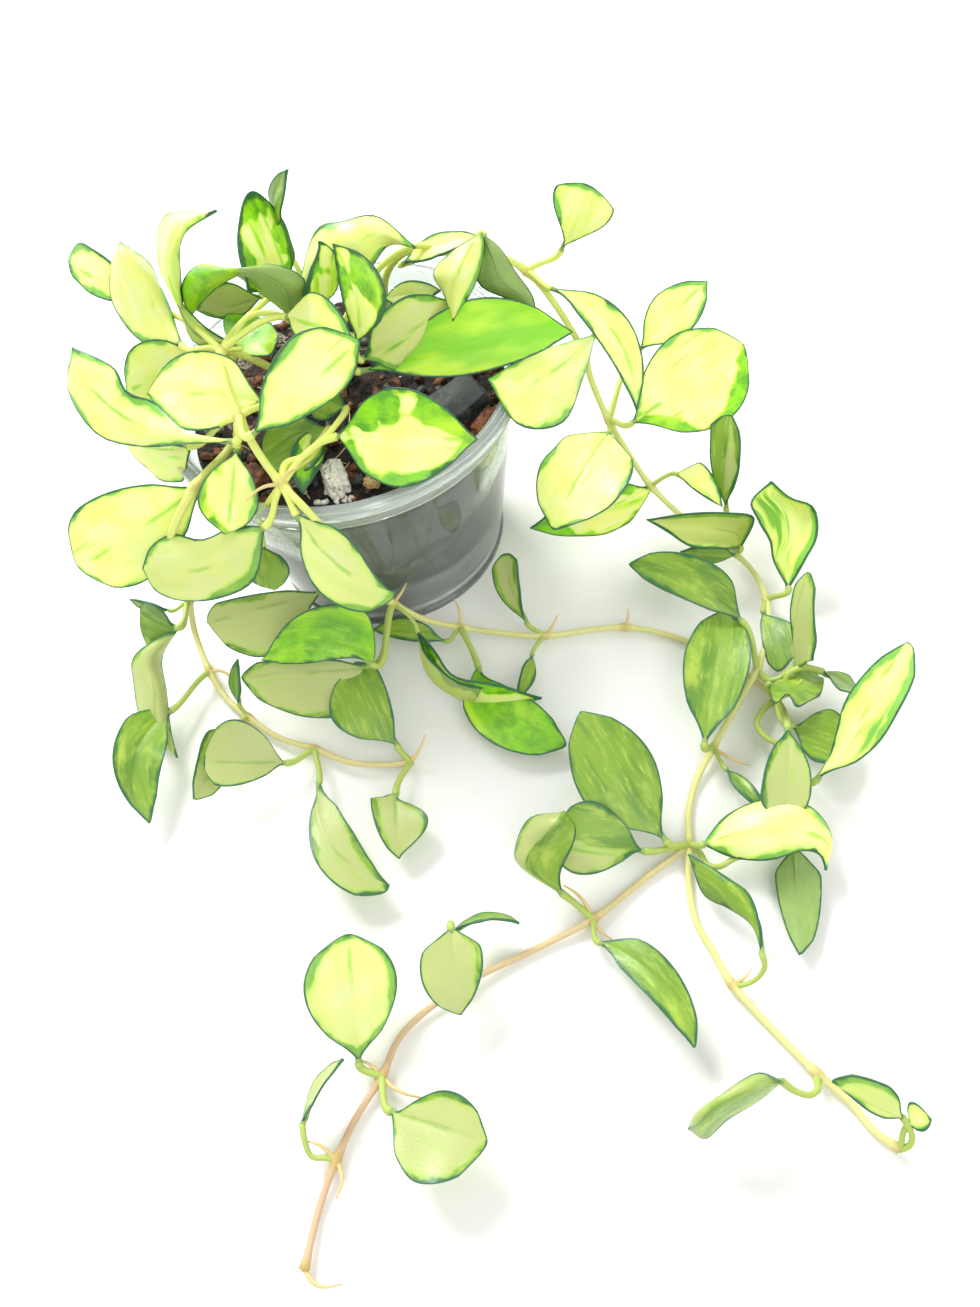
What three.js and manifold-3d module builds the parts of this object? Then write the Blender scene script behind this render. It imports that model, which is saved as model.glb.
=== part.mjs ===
// A variegated hoya in a clear plastic pot, in millimetres, +Z up.
// The origin is the centre of the pot's foot. X runs to the right and Y away from the front.
// Three long vines climb out of the pot and lie along the surface that it stands on.
import * as THREE from "three";
import { mergeVertices } from "three/addons/utils/BufferGeometryUtils.js";
import Module from "manifold-3d";

const wasm = await Module();
wasm.setup();

// Driving dimensions of the pot
const POT_HIGH = 79;
const FOOT_RADIUS = 44;
const FOOT_BAND = 3;
const FOOT_INSET = 0.6;
const WALL_TOP_RADIUS = 56;
const RIM_RADIUS = 60;
const RIM_INNER_RADIUS = 54.5;
const RIM_DEEP = 9;
const WALL_THICK = 1.2;
const FLOOR_THICK = 2;
const FLOOR_ROUND = 1.5;
const POT_SIDES = 36;
const DRAIN_HOLES = 6;
const DRAIN_RADIUS = 3;
const DRAIN_CIRCLE = 28;
const HOLE_SIDES = 8;

// Driving dimensions of the potting mix
const GAP = 0.3;
const PIECE_ROOM = 0.8;
const MIX_TOP = 69;
const MIX_RELIEF = 2.2;
const CHIP_COUNT = 14;
const GOLDEN_ANGLE = 2.4;
const HOLE_MARGIN = 0.9;
const CHIP_CLEAR = 8;
const ROOTED_TO = 46;

// Driving dimensions of the plant
const STEM_RADIUS = 1.5;
const STEM_SIDES = 6;
const STEM_STEP = 10;
const KNOT_RADIUS = 2.4;
const KNOT_REACH = 3.4;
const PETIOLE_RADIUS = 1.15;
const PETIOLE_STEPS = 3;
const PETIOLE_RISE = 0.35;
const AIR_ROOT_RADIUS = 0.8;
const LEAF_THICK = 1.3;
const LEAF_EDGE_THICK = 0.7;
const NARROW_LEAF = 16;
const WIDE_STATIONS = [0.11, 0.33, 0.56, 0.78, 0.94];
const NARROW_STATIONS = [0.14, 0.42, 0.7, 0.92];
const LEAF_RIBS = [-1, -0.36, 0.36, 1];

const finish = (color, roughness) => new THREE.MeshStandardMaterial({ color, roughness, metalness: 0 });
const clearPlastic = finish(0xdfe6e8, 0.15);
const darkMix = finish(0x33281f, 0.95);
const charcoal = finish(0x23262a, 0.7);
const pumice = finish(0xe9e2d4, 0.9);
const bark = finish(0x7a4a30, 0.9);
const frontGreen = finish(0xcfe486, 0.45);
const leftGreen = finish(0xc3dc84, 0.45);
const rightGreen = finish(0xb9d47a, 0.45);
const crownGreen = finish(0xa8d45c, 0.4);

const UP = new THREE.Vector3(0, 0, 1);
const vector = (point) => new THREE.Vector3(...point);
const radians = THREE.MathUtils.degToRad;

// A repeatable draw between 0 and 1.
function seeded(seed) {
  let state = seed;
  return () => {
    state = (state * 16807) % 2147483647;
    return state / 2147483647;
  };
}

// Solids and meshes
function solidFrom(geometry) {
  const bare = new THREE.BufferGeometry();
  bare.setAttribute("position", geometry.getAttribute("position"));
  if (geometry.index) bare.setIndex(geometry.index);
  const merged = mergeVertices(bare, 1e-4);
  const vertProperties = merged.attributes.position.array;
  const triVerts = new Uint32Array(merged.index.array);
  return new wasm.Manifold(new wasm.Mesh({ numProp: 3, vertProperties, triVerts }));
}

function solidFromFaces(places, faces) {
  const geometry = new THREE.BufferGeometry();
  geometry.setAttribute("position", new THREE.BufferAttribute(new Float32Array(places), 3));
  geometry.setIndex(faces);
  return solidFrom(geometry);
}

function meshFrom(solid, name, material) {
  const { vertProperties, triVerts } = solid.getMesh();
  const geometry = new THREE.BufferGeometry();
  geometry.setAttribute("position", new THREE.BufferAttribute(vertProperties, 3));
  geometry.setIndex(new THREE.BufferAttribute(triVerts, 1));
  geometry.computeVertexNormals();
  const mesh = new THREE.Mesh(geometry, material);
  mesh.name = name;
  return mesh;
}

const joined = (solids) => solids.reduce((whole, piece) => whole.add(piece));

// A joined solid without the scraps that a join can leave.
function wholeBody(solid) {
  const bodies = solid.decompose();
  bodies.sort((a, b) => b.volume() - a.volume());
  return bodies[0];
}

// Pot
function potSolid() {
  const skirt = POT_HIGH - RIM_DEEP;
  const foot = [
    [0, 0],
    [FOOT_RADIUS - 1, 0],
    [FOOT_RADIUS, 1],
    [FOOT_RADIUS, FOOT_BAND - FOOT_INSET],
    [FOOT_RADIUS - FOOT_INSET, FOOT_BAND],
  ];
  const rim = [
    [WALL_TOP_RADIUS, skirt],
    [WALL_TOP_RADIUS + 1, skirt],
    [WALL_TOP_RADIUS + 1.4, skirt + 3],
    [RIM_RADIUS - 1.2, skirt + 4.4],
    [RIM_RADIUS, POT_HIGH - 2.6],
    [RIM_RADIUS - 0.5, POT_HIGH - 0.7],
    [RIM_RADIUS - 2.2, POT_HIGH],
    [RIM_INNER_RADIUS + 1, POT_HIGH - 0.2],
    [RIM_INNER_RADIUS, POT_HIGH - 1.4],
  ];
  const inside = [
    [WALL_TOP_RADIUS - WALL_THICK, skirt],
    [FOOT_RADIUS - WALL_THICK - FOOT_INSET, FLOOR_THICK + FLOOR_ROUND],
    [FOOT_RADIUS - WALL_THICK - FOOT_INSET - FLOOR_ROUND, FLOOR_THICK],
    [0, FLOOR_THICK],
  ];
  const profile = [...foot, ...rim, ...inside];
  const turned = new THREE.LatheGeometry(profile.map((p) => new THREE.Vector2(...p)), POT_SIDES);
  turned.rotateX(Math.PI / 2);
  let pot = solidFrom(turned);
  for (let i = 0; i < DRAIN_HOLES; i++) {
    const angle = (2 * Math.PI * i) / DRAIN_HOLES;
    const hole = new THREE.CylinderGeometry(DRAIN_RADIUS, DRAIN_RADIUS, 4 * FLOOR_THICK, HOLE_SIDES);
    hole.rotateX(Math.PI / 2);
    hole.translate(DRAIN_CIRCLE * Math.cos(angle), DRAIN_CIRCLE * Math.sin(angle), 0);
    pot = pot.subtract(solidFrom(hole));
  }
  return pot;
}

// Potting mix, with its chips, and the larger loose pieces that lie in it
const innerRadius = (z) => {
  const share = (z - FLOOR_THICK) / (POT_HIGH - RIM_DEEP - FLOOR_THICK);
  const foot = FOOT_RADIUS - WALL_THICK - FOOT_INSET;
  return foot + (WALL_TOP_RADIUS - WALL_THICK - foot) * Math.min(1, share);
};

// A rough lump: a low ball with its corners pushed in and out.
function lump(size, centre, turn, seed) {
  const draw = seeded(seed);
  const rough = new THREE.IcosahedronGeometry(1, 1).deleteAttribute("normal").deleteAttribute("uv");
  const ball = mergeVertices(rough);
  const place = ball.getAttribute("position");
  for (let i = 0; i < place.count; i++) {
    const swell = 0.78 + 0.34 * draw();
    place.setXYZ(i, place.getX(i) * swell, place.getY(i) * swell, place.getZ(i) * swell);
  }
  ball.scale(size[0] / 2, size[1] / 2, size[2] / 2);
  ball.rotateX(radians(turn[0]));
  ball.rotateY(radians(turn[1]));
  ball.rotateZ(radians(turn[2]));
  ball.translate(...centre);
  return solidFrom(ball);
}

const loosePieces = [
  { name: "pumice_lump", size: [11, 9, 9], at: [-6, -38, 70.5], turn: [10, 20, 40], seed: 5, look: pumice },
  { name: "pumice_bit", size: [5, 4, 4], at: [3, -41, 70.5], turn: [0, 30, 10], seed: 9, look: pumice },
  { name: "charcoal_slab", size: [24, 15, 8], at: [33, -18, 71], turn: [4, -8, 25], seed: 17, look: charcoal },
  { name: "bark_chip_right", size: [12, 6, 6], at: [42, -28, 71], turn: [20, 10, 50], seed: 21, look: bark },
  { name: "bark_chip_middle", size: [16, 8, 6], at: [15, -22, 71], turn: [10, 12, -20], seed: 33, look: bark },
  { name: "bark_chip_left", size: [13, 8, 6], at: [-35, -30, 71], turn: [0, -14, 35], seed: 41, look: bark },
  { name: "bark_chip_back", size: [15, 9, 6], at: [-4, 37, 71], turn: [12, 5, 15], seed: 57, look: bark },
];

// A chip: a flat box that leans in the surface of the mix.
function chipSolid(i, draw) {
  const angle = GOLDEN_ANGLE * i;
  const out = (WALL_TOP_RADIUS - 12) * Math.sqrt((i + 0.5) / CHIP_COUNT);
  const chip = new THREE.BoxGeometry(6 + 8 * draw(), 4 + 4 * draw(), 2.5 + 2 * draw());
  chip.rotateX(radians(50 * (draw() - 0.5)));
  chip.rotateY(radians(50 * (draw() - 0.5)));
  chip.rotateZ(radians(180 * draw()));
  chip.translate(out * Math.cos(angle), out * Math.sin(angle), MIX_TOP + MIX_RELIEF * (draw() - 0.4));
  return solidFrom(chip);
}

function mixSolid(stemHoles) {
  const draw = seeded(77);
  const low = FLOOR_THICK + GAP;
  const rounded = 4;
  const profile = [
    [0, low],
    [innerRadius(low) - rounded / 2, low],
    [innerRadius(low + rounded) - GAP, low + rounded],
    [innerRadius(MIX_TOP - rounded) - GAP, MIX_TOP - rounded],
    [innerRadius(MIX_TOP) - 2 * GAP, MIX_TOP - 2 * GAP],
    [0, MIX_TOP],
  ];
  const turned = new THREE.LatheGeometry(profile.map((p) => new THREE.Vector2(...p)), POT_SIDES);
  turned.rotateX(Math.PI / 2);
  let mix = solidFrom(turned);
  for (let i = 0; i < CHIP_COUNT; i++) mix = mix.add(chipSolid(i, draw));
  for (const piece of loosePieces) {
    const hollow = piece.size.map((side) => side + PIECE_ROOM);
    mix = mix.subtract(lump(hollow, piece.at, piece.turn, piece.seed));
  }
  for (const [x, y] of stemHoles) {
    const radius = STEM_RADIUS + HOLE_MARGIN;
    const bottom = ROOTED_TO - GAP;
    const deep = MIX_TOP + CHIP_CLEAR - bottom;
    const hole = new THREE.CylinderGeometry(radius, radius, deep, HOLE_SIDES);
    hole.rotateX(Math.PI / 2);
    hole.translate(x, y, bottom + deep / 2);
    mix = mix.subtract(solidFrom(hole));
  }
  return wholeBody(mix);
}

// A leaf runs from its base to its tip. At roll 0 its upper face looks up as far as it can.
// Arch lifts the middle towards the upper face, lean bows it sideways, curl bends the last third,
// cup raises the edges and twist turns the tip against the base.
function leafFrame(leaf) {
  const base = vector(leaf.base);
  const along = vector(leaf.tip).sub(base);
  const long = along.length();
  along.normalize();
  const level = along.clone().cross(UP).normalize();
  const lifted = level.clone().cross(along);
  const roll = radians(leaf.roll);
  const side = level.multiplyScalar(Math.cos(roll)).addScaledVector(lifted, Math.sin(roll));
  const face = side.clone().cross(along);
  const { arch = 0.08, lean = 0, curl = 0 } = leaf;
  const midrib = (u) => {
    const bow = 4 * u * (1 - u);
    const hook = Math.max(0, u - 0.6) ** 2 / 0.16;
    return base
      .clone()
      .addScaledVector(along, long * u)
      .addScaledVector(face, (arch * bow + curl * hook) * long)
      .addScaledVector(side, lean * bow * long);
  };
  const axes = (u) => {
    const heading = midrib(u + 0.02).sub(midrib(u - 0.02)).normalize();
    const across = side.clone().addScaledVector(heading, -side.dot(heading)).normalize();
    across.applyAxisAngle(heading, radians((leaf.twist ?? 0) * (u - 0.5)));
    return { heading, across, face: across.clone().cross(heading) };
  };
  return { midrib, axes };
}

// Half of the blade's width at u, as a share of the widest. Full is where it is widest,
// and lower values of slim and blunt make the base and the tip rounder.
function halfWidth(u, { full = 0.5, slim = 0.85, blunt = 0.8 }) {
  if (u < full) return Math.sin((Math.PI / 2) * (u / full)) ** slim;
  return Math.cos((Math.PI / 2) * ((u - full) / (1 - full))) ** blunt;
}

const fanShaped = { full: 0.8, slim: 1.1, blunt: 0.45 };
const roundTipped = { full: 0.62, slim: 1, blunt: 0.52 };

// The petiole's middle line: out of the knot, then in line with the midrib.
function petioleCurve(leaf, knot) {
  const { midrib, axes } = leafFrame(leaf);
  const from = vector(knot);
  const to = midrib(0);
  const reach = to.distanceTo(from);
  const out = to.clone().sub(from).normalize().addScaledVector(UP, PETIOLE_RISE).normalize();
  const early = from.clone().addScaledVector(out, 0.4 * reach);
  const late = to.clone().addScaledVector(axes(0.03).heading, -0.35 * reach);
  return new THREE.CubicBezierCurve3(from, early, late, to);
}

// One leaf with its petiole. The petiole's rings have four corners: left, upper, right and under.
function leafSolid(leaf, knot) {
  const { midrib, axes } = leafFrame(leaf);
  const { cup = 14, wave = 0.05 } = leaf;
  const places = [];
  const faces = [];
  const add = (point) => places.push(point.x, point.y, point.z) / 3 - 1;

  const curve = petioleCurve(leaf, knot);
  const across = axes(0.03).across.clone();
  let petiole = null;
  for (let i = PETIOLE_STEPS; i >= 0; i--) {
    const heading = curve.getTangent(i / PETIOLE_STEPS);
    across.addScaledVector(heading, -across.dot(heading)).normalize();
    const face = across.clone().cross(heading);
    const centre = curve.getPoint(i / PETIOLE_STEPS);
    const corner = (sideways, upwards) =>
      add(centre.clone().addScaledVector(across, sideways).addScaledVector(face, upwards));
    const r = PETIOLE_RADIUS;
    const ring = [corner(-r, 0), corner(0, r), corner(r, 0), corner(0, -r)];
    if (petiole)
      for (let j = 0; j < 4; j++) {
        const k = (j + 1) % 4;
        faces.push(ring[j], ring[k], petiole.near[k], ring[j], petiole.near[k], petiole.near[j]);
      }
    petiole = { near: ring, far: petiole ? petiole.far : ring };
  }
  const [l, t, r, b] = petiole.near;
  faces.push(l, r, t, l, b, r);

  const stations = leaf.wide < NARROW_LEAF ? NARROW_STATIONS : WIDE_STATIONS;
  const rings = stations.map((u) => {
    const centre = midrib(u);
    const local = axes(u);
    const half = (leaf.wide / 2) * halfWidth(u, leaf);
    const bend = radians(cup) || 1e-3;
    const ring = { top: [], under: [] };
    for (const v of LEAF_RIBS) {
      const out = (half * Math.sin(bend * v)) / bend;
      const ripple = wave * half * v * v * Math.sin(4 * Math.PI * u + (v < 0 ? 2 : 0));
      const rise = (half * (1 - Math.cos(bend * v))) / bend + ripple;
      const normal = local.face
        .clone()
        .multiplyScalar(Math.cos(bend * v))
        .addScaledVector(local.across, -Math.sin(bend * v));
      const point = centre.clone().addScaledVector(local.across, out).addScaledVector(local.face, rise);
      const thick = LEAF_EDGE_THICK + (LEAF_THICK - LEAF_EDGE_THICK) * (1 - v * v);
      ring.top.push(add(point.clone().addScaledVector(normal, thick / 2)));
      ring.under.push(add(point.clone().addScaledVector(normal, -thick / 2)));
    }
    return ring;
  });
  const tip = add(midrib(1));
  const strips = LEAF_RIBS.length - 1;

  // The petiole's last ring is stitched to the blade's first one.
  const [left, upper, right, under] = petiole.far;
  const start = rings[0];
  for (let k = 0; k < strips; k++) {
    faces.push(upper, start.top[k + 1], start.top[k], under, start.under[k], start.under[k + 1]);
  }
  faces.push(left, start.top[0], start.under[0], right, start.under[strips], start.top[strips]);
  faces.push(left, upper, start.top[0], upper, right, start.top[strips]);
  faces.push(right, under, start.under[strips], under, left, start.under[0]);

  // Both faces of the blade are split into triangles alike.
  const both = (p, q, s, k) => {
    faces.push(p.top[k[0]], q.top[k[1]], s.top[k[2]]);
    faces.push(s.under[k[2]], q.under[k[1]], p.under[k[0]]);
  };
  for (let i = 0; i + 1 < rings.length; i++) {
    const [near, far] = [rings[i], rings[i + 1]];
    for (let k = 0; k < strips; k++) {
      if (k < strips / 2) {
        both(near, near, far, [k, k + 1, k]);
        both(near, far, far, [k + 1, k + 1, k]);
      } else {
        both(near, near, far, [k, k + 1, k + 1]);
        both(near, far, far, [k, k + 1, k]);
      }
    }
    faces.push(near.top[0], far.top[0], far.under[0], near.top[0], far.under[0], near.under[0]);
    const k = strips;
    faces.push(far.top[k], near.top[k], near.under[k], far.top[k], near.under[k], far.under[k]);
  }
  const end = rings[rings.length - 1];
  for (let k = 0; k < strips; k++) {
    faces.push(tip, end.top[k], end.top[k + 1], tip, end.under[k + 1], end.under[k]);
  }
  faces.push(tip, end.under[0], end.top[0], tip, end.top[strips], end.under[strips]);
  return solidFromFaces(places, faces);
}

// A stem's rings are laid one by one along a smooth curve, and swell at its knots.
function stemRun(points, knots) {
  const curve = new THREE.CatmullRomCurve3(points.map(vector), false, "centripetal");
  const lengths = curve.getLengths(10 * (points.length - 1));
  const whole = lengths[lengths.length - 1];
  const swellings = points.map((point, i) => (i && knots.includes(point) ? lengths[10 * i] : -1));
  const radiusAt = (distance) => {
    const nearest = Math.min(...swellings.map((place) => (place < 0 ? whole : Math.abs(distance - place))));
    return STEM_RADIUS + (KNOT_RADIUS - STEM_RADIUS) * Math.max(0, 1 - nearest / KNOT_REACH);
  };
  const marks = new Set([0, whole]);
  for (const place of swellings.filter((place) => place > 0)) {
    for (const step of [-KNOT_REACH, 0, KNOT_REACH]) marks.add(place + step);
  }
  const stops = [...marks].filter((mark) => mark >= 0 && mark <= whole).sort((a, b) => a - b);
  const distances = stops.flatMap((stop, i) => {
    const room = (stops[i + 1] ?? stop) - stop;
    const parts = Math.max(1, Math.round(room / STEM_STEP));
    return Array.from({ length: parts }, (_, k) => stop + (room * k) / parts);
  });

  const places = [];
  const faces = [];
  const start = curve.getTangentAt(0);
  const across = new THREE.Vector3(start.y, start.z, start.x);
  distances.forEach((distance, i) => {
    const centre = curve.getPointAt(distance / whole);
    const heading = curve.getTangentAt(distance / whole);
    across.addScaledVector(heading, -across.dot(heading)).normalize();
    const upwards = heading.clone().cross(across);
    for (let j = 0; j < STEM_SIDES; j++) {
      const angle = (2 * Math.PI * j) / STEM_SIDES;
      const point = centre
        .clone()
        .addScaledVector(across, radiusAt(distance) * Math.cos(angle))
        .addScaledVector(upwards, radiusAt(distance) * Math.sin(angle));
      places.push(point.x, point.y, point.z);
      if (i === 0) continue;
      const [near, far] = [(i - 1) * STEM_SIDES, i * STEM_SIDES];
      const k = (j + 1) % STEM_SIDES;
      faces.push(near + j, near + k, far + k, near + j, far + k, far + j);
    }
  });
  const last = (distances.length - 1) * STEM_SIDES;
  for (let j = 1; j + 1 < STEM_SIDES; j++) faces.push(0, j + 1, j, last, last + j, last + j + 1);
  return solidFromFaces(places, faces);
}

// A short aerial root is a slim cone that starts inside its knot.
function airRootSolid(knot, to) {
  const root = vector(to).sub(vector(knot));
  const cone = new THREE.CylinderGeometry(AIR_ROOT_RADIUS / 2, AIR_ROOT_RADIUS, root.length(), 3);
  cone.translate(0, root.length() / 2, 0);
  cone.applyQuaternion(new THREE.Quaternion().setFromUnitVectors(new THREE.Vector3(0, 1, 0), root.normalize()));
  cone.translate(...knot);
  return solidFrom(cone);
}

function leafyStem({ runs, knots, leaves, airRoots = [] }) {
  const pieces = runs.map((run) => stemRun(run, Object.values(knots)));
  for (const leaf of leaves) pieces.push(leafSolid(leaf, knots[leaf.at]));
  for (const root of airRoots) pieces.push(airRootSolid(knots[root.at], root.to));
  return wholeBody(joined(pieces));
}

// A stem stands straight in its hole, from ROOTED_TO up to just above the mix.
const rooted = (x, y) => [
  [x, y, ROOTED_TO],
  [x, y, (ROOTED_TO + MIX_TOP) / 2],
  [x, y, MIX_TOP + 2],
];

// Front vine: up to the crown, down over the front of the rim and along the surface to the right
const frontKnots = {
  crown: [-30, -10, 106],
  bend: [-28, -34, 101],
  rim: [-21, -50, 87],
  wall: [-2, -53, 24],
  near: [18, -58, 8],
  mid: [46, -68, 5],
  far: [74, -71, 3],
  end: [113, -112, 3],
};
const frontStem = {
  knots: frontKnots,
  runs: [
    [
      ...rooted(-14, 6),
      [-20, 0, 88],
      [-27, -7, 102],
      frontKnots.crown,
      [-30, -23, 105],
      frontKnots.bend,
      [-25, -43, 94],
      frontKnots.rim,
      [-16, -58, 84],
      [-11, -62, 72],
      [-8, -59, 45],
      frontKnots.wall,
      [7, -55, 13],
      frontKnots.near,
      [31, -63, 6],
      frontKnots.mid,
      [62, -69, 3.5],
      frontKnots.far,
      [85, -76, 2],
      [94, -83, 1.8],
      [104, -95, 1.8],
      [110, -104, 2],
      frontKnots.end,
      [114, -123, 3],
    ],
  ],
  leaves: [
    { at: "crown", base: [-43, 1, 104], tip: [-53, 27, 124], wide: 24, roll: 30, cup: 34, curl: -0.06 },
    { at: "crown", base: [-53, 24, 104], tip: [-78, 51, 108], wide: 18, roll: 50 },
    { at: "crown", base: [-36, -1, 106], tip: [-20, 8, 138], wide: 14, roll: -40, lean: -0.28 },
    { at: "crown", base: [-8, 6, 98], tip: [-40, 21, 104], wide: 19, roll: 105, arch: 0.3 },
    { at: "crown", base: [-9, -7, 110], tip: [8, -21, 108], wide: 22, roll: -30 },
    { at: "crown", base: [-16, 13, 96], tip: [-41, 18, 99], wide: 16, roll: 85 },
    { at: "crown", base: [-37, -1, 100], tip: [-68, 8, 86], wide: 22, roll: 60 },
    { at: "bend", base: [-25, -44, 104], tip: [10, -27, 112], wide: 30, roll: -50, full: 0.55, blunt: 0.7 },
    { at: "bend", base: [-28, -35, 98], tip: [-55, -10, 98], wide: 34, roll: 30, full: 0.38, slim: 0.7 },
    { at: "bend", base: [-33, -39, 96], tip: [-79, 8, 106], wide: 21, roll: 25, lean: -0.08 },
    { at: "bend", base: [-31, -41, 94], tip: [-43, -59, 77], wide: 19, roll: 35, full: 0.6 },
    { at: "bend", base: [-49, -24, 88], tip: [-77, -2, 74], wide: 20, roll: 80 },
    { at: "rim", base: [-3, -37, 88], tip: [37, -56, 92], wide: 28, roll: -45, blunt: 0.95 },
    { at: "rim", base: [-28, -57, 81], tip: [-71, -50, 71], wide: 23, roll: 40, lean: -0.1 },
    { at: "rim", base: [-18, -59, 84], tip: [4, -77, 60], wide: 23, roll: -20, blunt: 1, full: 0.55 },
    { at: "wall", base: [-15, -69, 18], tip: [-59, -68, 17], wide: 21, roll: 35, full: 0.6 },
    { at: "wall", base: [-11, -67, 23], tip: [-48, -65, 30], wide: 19, roll: 45, lean: 0.15 },
    { at: "wall", base: [-25, -56, 34], tip: [-66, -47, 26], wide: 22, roll: 40 },
    { at: "wall", base: [4, -64, 18], tip: [39, -95, 8], wide: 13, roll: 5, lean: 0.14, cup: 30 },
    { at: "near", base: [22, -77, 8], tip: [43, -112, 6], wide: 22, roll: -15 },
    { at: "near", base: [12, -60, 6], tip: [-12, -50, 8], wide: 12, roll: 30 },
    { at: "mid", base: [39, -75, 6], tip: [29, -92, 8], wide: 9, roll: 45 },
    { at: "mid", base: [42, -63, 8], tip: [39, -46, 26], wide: 11, roll: 40 },
    { at: "end", base: [113, -113, 10], tip: [124, -117, 14], wide: 13, roll: 0 },
    { at: "end", base: [114, -146, 8], tip: [142, -125, 42], wide: 21, roll: 5 },
    { at: "end", base: [115, -125, 5], tip: [124, -141, 8], wide: 17, roll: -30 },
    { at: "end", base: [109, -128, 14], tip: [97, -155, 18], wide: 15, roll: 5 },
  ],
  airRoots: [
    { at: "rim", to: [-31, -49, 86] },
    { at: "wall", to: [4, -49, 28] },
    { at: "mid", to: [52, -64, 10] },
    { at: "far", to: [76, -67, 8] },
  ],
};

// Left vine: over the left of the rim, down to the surface and along the front
const leftKnots = {
  rim: [-47, -43, 87],
  low: [-74, -29, 22],
  first: [-74, -48, 4],
  second: [-61, -71, 3.5],
  third: [-39, -90, 4],
  end: [-8, -103, 3],
};
const leftStem = {
  knots: leftKnots,
  runs: [
    [
      ...rooted(-38, -12),
      [-40, -28, 82],
      leftKnots.rim,
      [-57, -48, 78],
      [-68, -40, 52],
      leftKnots.low,
      [-77, -33, 9],
      leftKnots.first,
      [-69, -60, 2.4],
      leftKnots.second,
      [-51, -82, 3.5],
      leftKnots.third,
      [-28, -98, 4],
      [-15, -102, 3],
      leftKnots.end,
    ],
  ],
  leaves: [
    { at: "rim", base: [-49, -43, 82], tip: [-95, -36, 62], wide: 31, roll: 55, full: 0.6, slim: 0.7 },
    { at: "low", base: [-76, -31, 24], tip: [-89, -45, 22], wide: 13, roll: 60 },
    { at: "low", base: [-85, -47, 18], tip: [-83, -85, 12], wide: 13, roll: 30, lean: 0.12 },
    { at: "first", base: [-88, -65, 10], tip: [-94, -106, 8], wide: 18, roll: 25, lean: 0.16 },
    { at: "second", base: [-63, -67, 7], tip: [-59, -56, 18], wide: 9, roll: 25 },
    { at: "second", base: [-66, -75, 8], tip: [-80, -100, 8], wide: 16, roll: 50 },
    { at: "third", base: [-47, -94, 8], tip: [-72, -86, 16], wide: 18, roll: 25 },
    { at: "third", base: [-38, -105, 8], tip: [-21, -146, 8], wide: 17, roll: 0, lean: 0.13 },
    { at: "end", base: [-11, -98, 5], tip: [-26, -65, 6], wide: 20, roll: 5 },
    { at: "end", base: [-15, -116, 8], tip: [-14, -137, 7], wide: 21, roll: 5, full: 0.45 },
  ],
  airRoots: [{ at: "end", to: [-1, -98, 10] }],
};

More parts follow.
